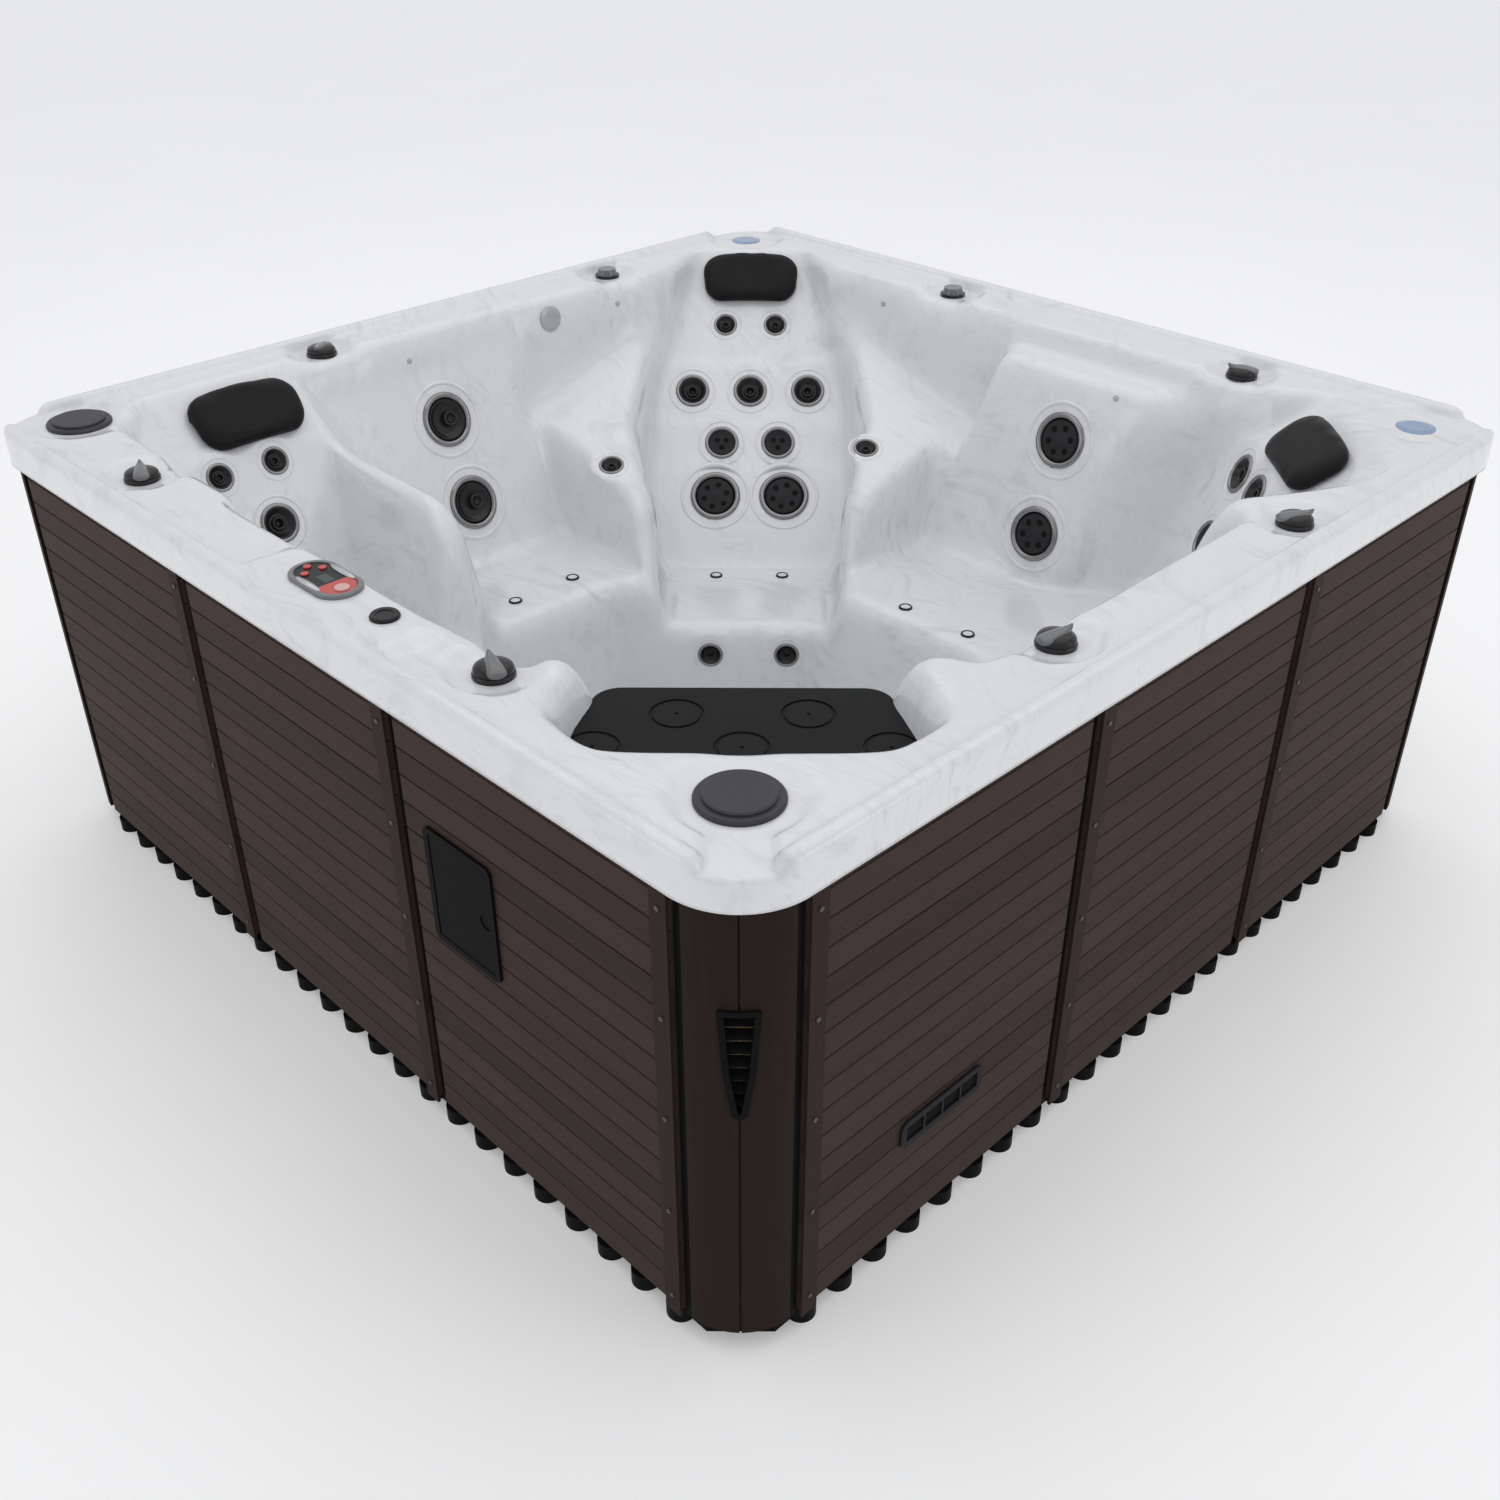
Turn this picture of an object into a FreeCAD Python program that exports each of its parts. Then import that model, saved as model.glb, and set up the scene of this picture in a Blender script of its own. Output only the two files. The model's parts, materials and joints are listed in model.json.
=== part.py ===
import FreeCAD, Part
import math
import os
import Sketcher
from FreeCAD import Placement, Rotation, Vector

# Square acrylic hot tub with a slatted cabinet, millimetres.
# Z is up, the floor is z = 0 and the origin is under the middle of the tub.
# Front is -Y (topside panel), the filter corner is +X -Y, the tall back seat is -X +Y.

DOC = FreeCAD.newDocument("hot_tub")
SHEET = DOC.addObject("Spreadsheet::Sheet", "sizes")

SIZES = {
    # shell rim
    "lip_half": 1065.0, "lip_corner_radius": 127.0, "lip_drop": 71.0,
    "tub_height": 920.0, "deck_drop": 12.0, "ridge_width": 31.0, "ridge_gap_half": 206.0,
    "ridge_gap_center": 78.0, "lip_edge_radius": 14.0, "shell_wall": 8.0,
    "rim_half": 930.0, "rim_drop": 140.0, "rim_inset": 22.0, "cut_over": 60.0,
    # footwell and seats
    "floor_height": 80.0, "pan_height": 400.0, "pan_tilt": 6.0, "well_half": 440.0,
    "well_draft": 26.0, "seat_drop": 54.0, "calf_reach": 160.0, "back_pan_height": 290.0,
    "step_pan_height": 440.0, "crease_radius": 55.0, "band_step": 12.0,
    "arm_height": 600.0, "arm_line": 590.0, "arm_rise_share": 0.40,
    # filter corner
    "filter_back": 898.0, "filter_front": 1130.0, "filter_back_half": 205.0,
    "filter_front_half": 272.0, "filter_floor": 450.0, "filter_draft": 18.0,
    "lid_drop": 90.0, "lid_thickness": 8.0, "lid_gap": 2.0, "lid_back": 882.0,
    "lid_front": 1150.0, "lid_back_half": 217.0, "lid_front_half": 290.0, "lid_corner": 45.0,
    # deck recesses
    "scoop_radius": 66.0, "scoop_depth": 14.0, "scoop_flare": 10.0,
    "corner_recess_radius": 94.0, "corner_recess_depth": 9.0, "corner_channel_half": 46.0,
    "panel_deck_front": 915.0, "panel_deck_radius": 24.0,
    # cabinet
    "cabinet_half": 1053.0, "panel_thickness": 16.0, "panel_bottom": 42.0, "slat_pitch": 49.2,
    "slat_count": 17.0, "slat_groove": 4.0, "slat_groove_depth": 4.0, "channel_line": 311.0,
    "channel_width": 20.0, "channel_setback": 7.0, "stile_width": 32.0,
    "stile_proud": 5.0, "stile_bottom": 30.0, "lip_gap": 1.0, "corner_radius": 115.0,
    "seam_width": 3.0, "screw_radius": 4.0, "screw_head": 2.0, "screw_count": 5.0,
    "screw_margin": 38.0,
    # base and frame
    "base_set": 21.0, "base_height": 30.0, "tray_floor": 8.0, "tray_rim": 60.0,
    "lug_radius": 24.0, "lug_pitch": 82.0, "lug_count": 23.0, "base_chamfer": 74.0,
    "timber_thick": 32.0, "timber_width": 60.0, "rail_drop": 40.0, "block_line": 730.0,
    "corner_timber_drop": 140.0, "rib_width": 40.0, "rib_pitch": 180.0, "rib_half": 330.0,
    # vents and locker
    "side_vent_center": -615.0, "side_vent_height": 252.0, "side_vent_length": 196.0,
    "side_vent_width": 54.0, "side_vent_proud": 5.0, "side_vent_lip": 8.0,
    "side_vent_wall": 4.0, "side_vent_cell": 39.8, "side_vent_cells": 4.0, "blade_tilt": 30.0,
    "corner_vent_width": 60.0, "corner_vent_top": 683.0, "corner_vent_bottom": 493.0,
    "corner_vent_rim": 9.0, "corner_vent_proud": 4.0, "corner_vent_tip": 10.0,
    "corner_vent_blades": 7.0,
    "locker_center": 456.0, "locker_height": 557.0, "locker_width": 168.0,
    "locker_tall": 218.0, "locker_frame": 12.0, "locker_depth": 110.0, "locker_wall": 3.0,
    "locker_door_thick": 6.0, "locker_radius": 14.0, "locker_pin_radius": 2.0,
    "fit_gap": 0.3, "pin_gap": 0.05, "locker_ear": 7.0, "locker_proud": 5.0,
    "locker_door_set": 1.0,
    # jets: flange radius, barrel radius, length behind the wall
    "jet_large": 63.0, "jet_large_barrel": 42.0, "jet_large_length": 60.0, "jet_face": 47.0,
    "jet_medium": 43.0, "jet_medium_barrel": 28.0, "jet_medium_length": 45.0,
    "jet_small": 30.0, "jet_small_barrel": 18.0, "jet_small_length": 40.0,
    "air_inlet": 15.0, "air_inlet_barrel": 8.0, "air_inlet_length": 30.0,
    "flange_thick": 7.0, "face_thick": 4.0, "face_port": 8.5, "face_port_ring": 23.0,
    "face_port_depth": 2.5, "face_ports": 5.0, "face_hub": 12.0, "face_hub_length": 9.0,
    "face_gap": 1.0,
    # deck controls
    "valve_base_radius": 33.0, "valve_base_height": 8.0, "valve_stem_radius": 22.0,
    "valve_stem_length": 60.0, "handle_pin": 8.0, "handle_pin_length": 10.0,
    "handle_radius": 31.0, "handle_height": 12.0, "handle_thick": 13.0, "handle_reach": 44.0,
    "handle_horn": 32.0, "knob_base_radius": 30.0, "knob_stem_radius": 13.0,
    "knob_base_height": 6.0, "knob_radius": 25.0, "knob_height": 14.0, "knob_grip": 3.0,
    "knob_grips": 12.0,
    "cap_radius": 62.0, "cap_thick": 12.0, "cap_step_radius": 50.0, "cap_step": 7.0,
    "speaker_radius": 52.0, "speaker_length": 90.0, "sleeve_wall": 3.0,
    "light_radius": 38.0, "light_thick": 4.0,
    "topside_x": 31.0, "topside_y": -968.0, "topside_length": 150.0, "topside_width": 82.0,
    "topside_height": 7.0, "topside_border": 9.0, "topside_recess": 4.0, "topside_face": 2.5,
    "topside_body_depth": 40.0, "key_radius": 6.5, "key_height": 3.7,
    "keypad_x": 198.0, "keypad_y": -969.0, "keypad_radius": 24.0, "keypad_height": 6.0,
    "key_hole_gap": 0.4, "key_rest": 1.3, "big_key_radius": 12.0,
    # pillows
    "pillow_length": 264.0, "pillow_width": 142.0, "pillow_thick": 42.0,
    "pillow_corner": 50.0, "pillow_gap": 0.5,
    # filter fittings
    "cartridge_radius": 66.0, "cartridge_height": 250.0, "cartridge_pitch": 170.0,
    "cartridge_cap": 18.0, "cartridge_line": 1010.0,
    "throat_half": 105.0, "throat_bottom": 690.0, "throat_top": 752.0, "throat_frame": 8.0,
    "throat_line": 885.0, "throat_reach": 20.0, "throat_wall": 4.0,
    "weir_thick": 4.0, "weir_pin": 3.0,
    "lid_dimple": 41.5, "lid_dimple_depth": 2.5, "lid_dot": 3.0,
    # equipment
    "motor_radius": 78.0, "motor_length": 250.0, "wet_end_radius": 92.0, "wet_end_length": 86.0,
    "pump_foot": 24.0, "pump_line": -700.0, "pump_one": -90.0, "pump_two": 346.0,
    "heater_start": 40.0, "heater_height": 330.0, "heater_radius": 45.0, "heater_length": 230.0,
    "box_start": 400.0, "box_back": -865.0, "box_length": 300.0, "box_depth": 105.0,
    "box_tall": 240.0, "pipe_radius": 30.0, "union_radius": 42.0, "union_length": 40.0,
    # lights and intakes
    "wall_light": 30.0, "wall_light_thick": 5.0, "led_radius": 6.0, "led_thick": 3.0,
    "suction_radius": 52.0, "suction_thick": 12.0, "suction_depth": 30.0, "suction_slots": 10.0,
}

# Lines of the tub that follow from the sizes above.
LINES = {
    "lip_bottom": "tub_height - lip_drop",
    "rim_foot": "tub_height - rim_drop",
    "seat_top": "tub_height - seat_drop",
    "lid_top": "tub_height - lid_drop",
    "post_line": "cabinet_half - corner_radius",
    "base_half": "cabinet_half - base_set",
    "rail_top": "tub_height - rail_drop",
    "corner_timber_top": "tub_height - corner_timber_drop",
    "slats_tall": "slat_pitch * slat_count",
}

for row, (alias, value) in enumerate(SIZES.items(), start=1):
    SHEET.set("A%d" % row, alias)
    SHEET.set("B%d" % row, str(value))
    SHEET.setAlias("B%d" % row, alias)
DOC.recompute()


def amount(text):
    """Value of a sum of products of numbers and the sheet's words."""
    total = 0.0
    for term in text.replace("- ", "+ - ").split("+"):
        product = 1.0 if term.strip() else 0.0
        for word in term.replace("*", " ").split():
            if word == "-":
                product = -product
            elif word in SIZES or word in LINES:
                product *= size(word)
            else:
                product *= float(word)
        total += product
    return total


def size(alias):
    """Value of one cell of the sheet, or of a line that follows from the cells."""
    if alias in LINES:
        return amount(LINES[alias])
    return float(SHEET.get(alias))


def offset_corners(corners, grow):
    """Corners (a, b, radius) of a counter-clockwise outline, moved outwards by grow."""
    moved = []
    count = len(corners)
    for index in range(count):
        before, here, after = corners[index - 1], corners[index], corners[(index + 1) % count]
        first = Vector(here[0] - before[0], here[1] - before[1], 0).normalize()
        second = Vector(after[0] - here[0], after[1] - here[1], 0).normalize()
        bend = first.x * second.y - first.y * second.x
        reach = grow / (1 + first.dot(second))
        step_a = (first.y + second.y) * reach
        step_b = -(first.x + second.x) * reach
        bent = grow if bend > 0 else -grow
        radius = max(here[2] + bent, 0.1 * here[2])
        moved.append((here[0] + step_a, here[1] + step_b, radius))
    return moved


def rounded_wire(corners, to_point):
    """Closed wire of straight runs and tangent arcs; to_point places a flat point in space."""
    count = len(corners)
    runs = []
    for index in range(count):
        before, here, after = corners[index - 1], corners[index], corners[(index + 1) % count]
        corner = Vector(here[0], here[1], 0)
        back = (Vector(before[0], before[1], 0) - corner).normalize()
        ahead = (Vector(after[0], after[1], 0) - corner).normalize()
        half = math.acos(max(-1.0, min(1.0, back.dot(ahead)))) / 2
        cut = here[2] / math.tan(half)
        middle = (back + ahead).normalize()
        apex = corner + middle * (here[2] / math.sin(half) - here[2])
        runs.append((corner + back * cut, apex, corner + ahead * cut))
    edges = []
    for index in range(count):
        start, apex, end = [to_point(p.x, p.y) for p in runs[index]]
        following = runs[(index + 1) % count][0]
        edges.append(Part.Arc(start, apex, end).toShape())
        edges.append(Part.LineSegment(end, to_point(following.x, following.y)).toShape())
    return Part.Wire(edges)


def level_wire(corners, height):
    return rounded_wire(corners, lambda a, b: Vector(a, b, height))


def stack(sections):
    """Closed solid through (corners, height) sections, low to high."""
    wires = [level_wire(corners, height) for corners, height in sections]
    return Part.makeLoft(wires, True, True)


def profile_solid(corners, outward, reach):
    """Side profile of (distance, height, radius) corners, run across both ways by reach.

    outward is the angle of the profile's distance axis in plan, in degrees.
    """
    turn = math.radians(outward)
    along = Vector(math.cos(turn), math.sin(turn), 0)
    across = Vector(-math.sin(turn), math.cos(turn), 0)
    base = across * -reach
    wire = rounded_wire(corners, lambda a, b: base + along * a + Vector(0, 0, b))
    return Part.Face(wire).extrude(across * (reach + reach))


def scaled(shares, span):
    """Corners given as shares of one span."""
    return [(a * span, b * span, r * span) for a, b, r in shares]


def turned(corners, outward):
    """Corners in a seat's (distance, across) axes, turned into plan."""
    turn = math.radians(outward)
    return [(a * math.cos(turn) - b * math.sin(turn), a * math.sin(turn) + b * math.cos(turn), r)
            for a, b, r in corners]


LIP_HALF = size("lip_half")
TOP = size("tub_height")
DECK = TOP - size("deck_drop")
WALL = size("shell_wall")
RIM_HALF = size("rim_half")
OVER = size("cut_over")
PAN = size("pan_height")
SEAT_TOP = size("seat_top")
FLOOR = size("floor_height")
ABOVE = TOP + OVER

# Inner edge of the deck, anticlockwise from the front left corner, as shares of rim_half.
RIM_SHARES = [
    (-0.975, -0.920, 0.095), (-0.780, -0.968, 0.060), (0.225, -0.973, 0.035),
    (0.290, -0.953, 0.035), (0.560, -0.953, 0.040), (0.605, -1.016, 0.045),
    (0.745, -1.035, 0.095), (1.037, -0.745, 0.095), (1.040, -0.580, 0.045),
    (0.968, -0.535, 0.040), (0.963, -0.215, 0.050), (0.990, 0.000, 0.150),
    (0.985, 0.460, 0.045), (1.056, 0.530, 0.050), (1.056, 0.800, 0.060),
    (0.800, 1.056, 0.060), (0.680, 0.985, 0.050), (0.000, 0.990, 0.200),
    (-0.330, 0.982, 0.040), (-0.560, 1.010, 0.060), (-0.842, 1.050, 0.045),
    (-1.050, 0.842, 0.045), (-0.985, 0.600, 0.060), (-1.008, 0.240, 0.200),
    (-0.998, -0.452, 0.040), (-1.070, -0.500, 0.045), (-1.070, -0.790, 0.060),
]


# Footwell outline at pan height, shares of well_half; one long corner faces the back seat.
WELL_SHARES = [
    (-1.000, -0.960, 0.200), (0.980, -0.960, 0.200), (0.980, 0.740, 0.250),
    (-0.250, 0.740, 0.150), (-1.000, -0.010, 0.150),
]


def footwell(grow):
    edge = scaled(WELL_SHARES, size("well_half"))
    draft = size("well_draft")
    return stack([(offset_corners(edge, grow - draft), FLOOR - grow),
                  (offset_corners(edge, grow), PAN + WALL),
                  (offset_corners(edge, grow), ABOVE)])


def bucket(profile, outward, low_plan, high_plan, low_height, grow):
    """Seat cavity: a side profile run across, kept inside a plan that widens upwards."""
    side = profile_solid(offset_corners(profile, grow), outward, LIP_HALF)
    plan = stack([(offset_corners(low_plan, grow), low_height - OVER),
                  (offset_corners(high_plan, grow), SEAT_TOP + OVER)])
    return side.common(plan)


def seat_profile(pan, back):
    """Cavity profile: open top, nearly flat pan, then the backrest's own corners."""
    inner = size("calf_reach")
    tilt = size("pan_tilt")
    radius = size("crease_radius")
    crease = back[0]
    return [(inner, ABOVE, 0.1 * radius), (inner, pan + tilt, 0.1 * radius),
            (crease[0], pan - tilt, radius)] + back[1:]


def back_points(shares):
    """Backrest corners given as shares of rim_half (reach) and deck height (height)."""
    return [(a * RIM_HALF, b * DECK, r * RIM_HALF) for a, b, r in shares]


LEFT, REAR, RIGHT, FRONT = 180.0, 90.0, 0.0, -90.0
REAR_LEFT, REAR_RIGHT, FRONT_RIGHT = 135.0, 45.0, -45.0

# Backrest corners, first the crease with the pan, last the deck.
LEFT_BACK = [(0.806, 0.0, 0.0), (1.000, 0.936, 0.060), (1.004, 1.100, 0.010)]
REAR_BACK = [(0.748, 0.0, 0.0), (0.895, 0.936, 0.010),
             (0.974, 0.937, 0.010), (0.990, 1.100, 0.010)]
CORNER_BACK = [(0.945, 0.0, 0.0), (1.122, 0.870, 0.040), (1.310, 1.010, 0.040),
               (1.312, 1.100, 0.010)]
LOUNGE_BACK = [(0.690, 0.0, 0.0), (0.892, 0.850, 0.040), (1.052, 1.010, 0.030),
               (1.054, 1.100, 0.010)]
STEP_BACK = [(0.900, 0.0, 0.0), (0.962, 0.930, 0.030), (0.964, 1.100, 0.010)]
FILTER_BACK = [(0.925, 0.0, 0.0), (0.951, 0.950, 0.010), (0.952, 1.100, 0.001)]


def tall_back():
    """Backrest of the back corner seat: one slope cut into bands, each set back on a ledge."""
    step = size("band_step")
    crease = 0.684 * RIM_HALF
    pan = size("back_pan_height")
    corners = [(crease, 0.0, 0.0)]
    for share, weight in ((0.518, 1.0), (0.630, 1.0), (0.742, 1.6)):
        height = share * DECK
        reach = crease + height - pan
        corners.append((reach - weight * step / 2, height, 0.4 * step))
        corners.append((reach + weight * step / 2, height + 0.2 * step, 0.3 * step))
    top = crease + DECK - pan
    corners.append((top, DECK, 0.5 * step))
    corners.append((top, ABOVE, 0.1 * step))
    return corners


PROFILES = {
    "left": seat_profile(PAN, back_points(LEFT_BACK)),
    "rear": seat_profile(PAN, back_points(REAR_BACK)),
    "corner": seat_profile(PAN, back_points(CORNER_BACK)),
    "lounge": seat_profile(PAN, back_points(LOUNGE_BACK)),
    "step": seat_profile(size("step_pan_height"), back_points(STEP_BACK)),
    "filter": seat_profile(size("step_pan_height") + WALL, back_points(FILTER_BACK)),
    "tall": seat_profile(size("back_pan_height"), tall_back()),
}

# Seat plans at pan height as shares of rim_half, x and y, or distance and across for the
# turned seats; then the plan at the rim, or how far its sides flare by then.
PLANS = {
    "left": ([(-0.860, -0.325, 0.060), (-0.330, -0.325, 0.030), (-0.330, 0.040, 0.030),
              (-0.590, 0.125, 0.130), (-0.860, 0.125, 0.060)],
             [(-1.060, -0.500, 0.060), (-0.330, -0.500, 0.030), (-0.330, 0.085, 0.030),
              (-0.590, 0.170, 0.130), (-1.060, 0.170, 0.060)]),
    "lounge": ([(-0.860, -0.900, 0.100), (-0.330, -0.900, 0.030), (-0.330, -0.600, 0.030),
                (-0.860, -0.600, 0.100)],
               [(-1.110, -0.930, 0.080), (-0.330, -0.930, 0.030), (-0.330, -0.440, 0.030),
                (-1.110, -0.440, 0.080)]),
    "rear": ([(-0.105, 0.300, 0.030), (0.520, 0.300, 0.030), (0.520, 1.100, 0.030),
              (-0.105, 1.100, 0.060)], 0.075),
    "corner": ([(0.500, -0.380, 0.050), (1.500, -0.180, 0.050), (1.500, 0.180, 0.050),
                (0.500, 0.380, 0.050)], 0.040),
    "step_right": ([(0.330, -0.370, 0.030), (1.060, -0.370, 0.060), (1.060, 0.300, 0.060),
                    (0.330, 0.300, 0.030)], 0.070),
    "step_front": ([(-0.370, -1.060, 0.060), (0.380, -1.060, 0.060), (0.380, -0.330, 0.030),
                    (-0.370, -0.330, 0.030)], 0.070),
    "filter": ([(0.480, -0.250, 0.030), (1.060, -0.290, 0.060), (1.060, 0.290, 0.060),
                (0.480, 0.250, 0.030)], 0.050),
    "tall": ([(0.165, -0.205, 0.020), (0.560, -0.235, 0.200), (0.780, -0.280, 0.120),
              (1.010, -0.255, 0.120), (1.500, -0.060, 0.020), (1.500, 0.060, 0.020),
              (1.010, 0.255, 0.120), (0.780, 0.280, 0.120), (0.560, 0.235, 0.200),
              (0.165, 0.205, 0.020)], 0.025),
    "arms": ([(-0.330, 0.020, 0.030), (-0.020, 0.330, 0.030), (-0.130, 0.500, 0.080),
              (-0.080, 0.930, 0.030), (-0.795, 0.930, 0.030), (-0.930, 0.795, 0.030),
              (-0.930, 0.120, 0.030), (-0.520, 0.110, 0.080)], 0.070),
}

# Each seat cavity: profile, plan, direction it backs on to, whether its plan is turned with it.
SEATS = (
    ("left", "left", LEFT, False),
    ("lounge", "lounge", LEFT, False),
    ("rear", "rear", REAR, False),
    ("corner", "corner", REAR_RIGHT, True),
    ("step", "step_right", RIGHT, False),
    ("step", "step_front", FRONT, False),
    ("filter", "filter", FRONT_RIGHT, True),
    ("tall", "tall", REAR_LEFT, True),
)


def arm_profile():
    """Cavity over the two armrest shelves: one plane rising towards the back corner."""
    inner = size("calf_reach")
    rise = size("arm_rise_share")
    line = size("arm_line")
    height = size("arm_height")
    far = 1.30 * RIM_HALF
    lift = height + (far - line) * rise
    return [(inner, ABOVE, 0.0001 * inner), (inner, height + (inner - line) * rise, 0.05 * inner),
            (far, lift, 0.05 * inner), (far, ABOVE + lift, 0.0001 * inner)]


def seat_plan(name, outward, is_turned):
    low_shares, wide = PLANS[name]
    low = scaled(low_shares, RIM_HALF)
    high = scaled(wide, RIM_HALF) if isinstance(wide, list) else offset_corners(low, wide * RIM_HALF)
    if is_turned:
        low, high = turned(low, outward), turned(high, outward)
    return low, high


def seat_cavity(profile, plan, outward, is_turned, grow):
    low, high = seat_plan(plan, outward, is_turned)
    corners = PROFILES[profile]
    return bucket(corners, outward, low, high, corners[1][1], grow)


def arm_cavity(grow):
    low, high = seat_plan("arms", REAR_LEFT, False)
    side = profile_solid(offset_corners(arm_profile(), grow), REAR_LEFT, LIP_HALF)
    plan = stack([(offset_corners(low, grow), PAN), (offset_corners(high, grow), ABOVE)])
    return side.common(plan)


def filter_plan(back, back_half, front, front_half, radius):
    corners = [(back, -back_half, radius), (front, -front_half, radius),
               (front, front_half, radius), (back, back_half, radius)]
    return turned(corners, FRONT_RIGHT)


LID_UNDER = size("lid_top") - size("lid_thickness")


def lid_outline():
    return filter_plan(size("lid_back"), size("lid_back_half"), size("lid_front"),
                       size("lid_front_half"), size("lid_corner"))


def filter_basin(grow):
    """Well for the cartridges, under the recess that the lid lies in."""
    edge = filter_plan(size("filter_back"), size("filter_back_half"), size("filter_front"),
                       size("filter_front_half"), size("lid_corner"))
    draft = size("filter_draft")
    well = stack([(offset_corners(edge, grow - draft), size("filter_floor") - grow),
                  (offset_corners(edge, grow), LID_UNDER + WALL)])
    recess = stack([(offset_corners(lid_outline(), grow + size("lid_gap")), LID_UNDER - grow),
                    (offset_corners(lid_outline(), grow + size("lid_gap")), ABOVE)])
    return well, recess


def rim_solid(grow):
    """Everything inside the deck's inner edge, with plain room below the rim."""
    edge = scaled(RIM_SHARES, RIM_HALF)
    foot = size("rim_foot")
    mouth = stack([(offset_corners(edge, grow - size("rim_inset")), foot),
                   (offset_corners(edge, grow), DECK)])
    neck = Part.Face(level_wire(offset_corners(edge, grow), DECK)).extrude(Vector(0, 0, ABOVE - DECK))
    room = Part.makeBox(2 * LIP_HALF, 2 * LIP_HALF, foot, Vector(-LIP_HALF, -LIP_HALF, 0))
    return room.fuse([mouth, neck])


def bowl(grow):
    """All the water space as one solid, its walls and floors pushed out by grow."""
    well, recess = filter_basin(grow)
    room = [seat_cavity(*seat, grow) for seat in SEATS]
    room.append(footwell(grow))
    room.append(arm_cavity(grow))
    joined = room[0].fuse(room[1:])
    joined = joined.common(rim_solid(grow))
    mouth = recess.common(rim_solid(grow))
    return joined.fuse([well, mouth])


SUBPARTS = []
UP = Vector(0, 0, 1)


def keep(label, item):
    """Take an object as a finished sub-part under its own name."""
    item.Label = label
    SUBPARTS.append(item)
    return item


def feature(label, shape):
    """An object whose form comes straight from the shape functions."""
    item = DOC.addObject("Part::Feature", label)
    item.Shape = shape
    return item


def cell(word):
    """One word of a formula as the sheet's expressions need it."""
    if word in LINES:
        return "( %s )" % cells(LINES[word])
    return "sizes." + word if word in SIZES else word


def cells(text):
    """Formula with the sheet's name put before each of its words."""
    return " ".join(cell(word) for word in text.split())


def bound(item, **links):
    """Bind an object's sizes to formulas of the sheet's words."""
    for prop, text in links.items():
        item.setExpression(prop.replace("__", "."), cells(text))
    return item


def block(name, low, high):
    """Box between two corners, each a triple of formulas."""
    item = DOC.addObject("Part::Box", name)
    return bound(item, Length="( %s ) - ( %s )" % (high[0], low[0]),
                 Width="( %s ) - ( %s )" % (high[1], low[1]),
                 Height="( %s ) - ( %s )" % (high[2], low[2]),
                 Placement__Base__x=low[0], Placement__Base__y=low[1], Placement__Base__z=low[2])


def rod(name, radius, start, length, axis=UP):
    """Cylinder from a start point along an axis, sized by formulas."""
    item = DOC.addObject("Part::Cylinder", name)
    item.Placement = Placement(Vector(), Rotation(UP, axis))
    return bound(item, Radius=radius, Height=length, Placement__Base__x=start[0],
                 Placement__Base__y=start[1], Placement__Base__z=start[2])


def group(name, items):
    """Separate solids kept as one sub-part."""
    item = DOC.addObject("Part::Compound", name)
    item.Links = items
    return item


def copied(source, placement):
    """Linked copy of an object at another place."""
    item = DOC.addObject("App::Link", source.Name + "_copy")
    item.LinkedObject = source
    item.LinkTransform = True
    item.Placement = placement
    return item


def quarter(turns, x=0.0, y=0.0):
    """Placement that shifts in the front's own axes, then turns to another side."""
    return Placement(Vector(), Rotation(UP, 90.0 * turns)).multiply(
        Placement(Vector(x, y, 0), Rotation()))


def joined(name, items):
    item = DOC.addObject("Part::MultiFuse", name)
    item.Shapes = items
    return item


def cut(name, base, tools):
    tool = tools[0] if len(tools) == 1 else joined(name + "_tools", tools)
    item = DOC.addObject("Part::Cut", name)
    item.Base = base
    item.Tool = tool
    return item


def sketch_on(body, role, name, height="0"):
    """Sketch on one of a body's own planes, moved along its normal by a formula."""
    sketch = body.newObject("Sketcher::SketchObject", name)
    plane = [item for item in body.Origin.OriginFeatures if item.Role == role][0]
    sketch.AttachmentSupport = [(plane, "")]
    sketch.MapMode = "FlatFace"
    if height != "0":
        sketch.setExpression("AttachmentOffset.Base.z", cells(height))
    return sketch


def polygon(sketch, corners):
    """Closed outline; each corner's two distances are sums of the sheet's words."""
    points = [Vector(amount(a), amount(b), 0) for a, b in corners]
    count = len(points)
    for index in range(count):
        sketch.addGeometry(Part.LineSegment(points[index], points[(index + 1) % count]), False)
    for index in range(count):
        sketch.addConstraint(Sketcher.Constraint("Coincident", index, 2, (index + 1) % count, 1))
    for index, corner in enumerate(corners):
        for kind, text, axis in (("DistanceX", corner[0], -2), ("DistanceY", corner[1], -1)):
            if text == "0":
                sketch.addConstraint(Sketcher.Constraint("PointOnObject", index, 1, axis))
                continue
            number = sketch.addConstraint(
                Sketcher.Constraint(kind, -1, 1, index, 1, amount(text)))
            sketch.setExpression("Constraints[%d]" % number, cells(text))
    return sketch


def circle(sketch, a, b, radius):
    """Circle whose centre and radius are sums of the sheet's words."""
    index = sketch.addGeometry(Part.Circle(Vector(amount(a), amount(b), 0), UP, amount(radius)), False)
    number = sketch.addConstraint(Sketcher.Constraint("Radius", index, amount(radius)))
    sketch.setExpression("Constraints[%d]" % number, cells(radius))
    for kind, text, axis in (("DistanceX", a, -2), ("DistanceY", b, -1)):
        if text == "0":
            sketch.addConstraint(Sketcher.Constraint("PointOnObject", index, 3, axis))
            continue
        number = sketch.addConstraint(Sketcher.Constraint(kind, -1, 1, index, 3, amount(text)))
        sketch.setExpression("Constraints[%d]" % number, cells(text))
    return sketch


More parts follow.
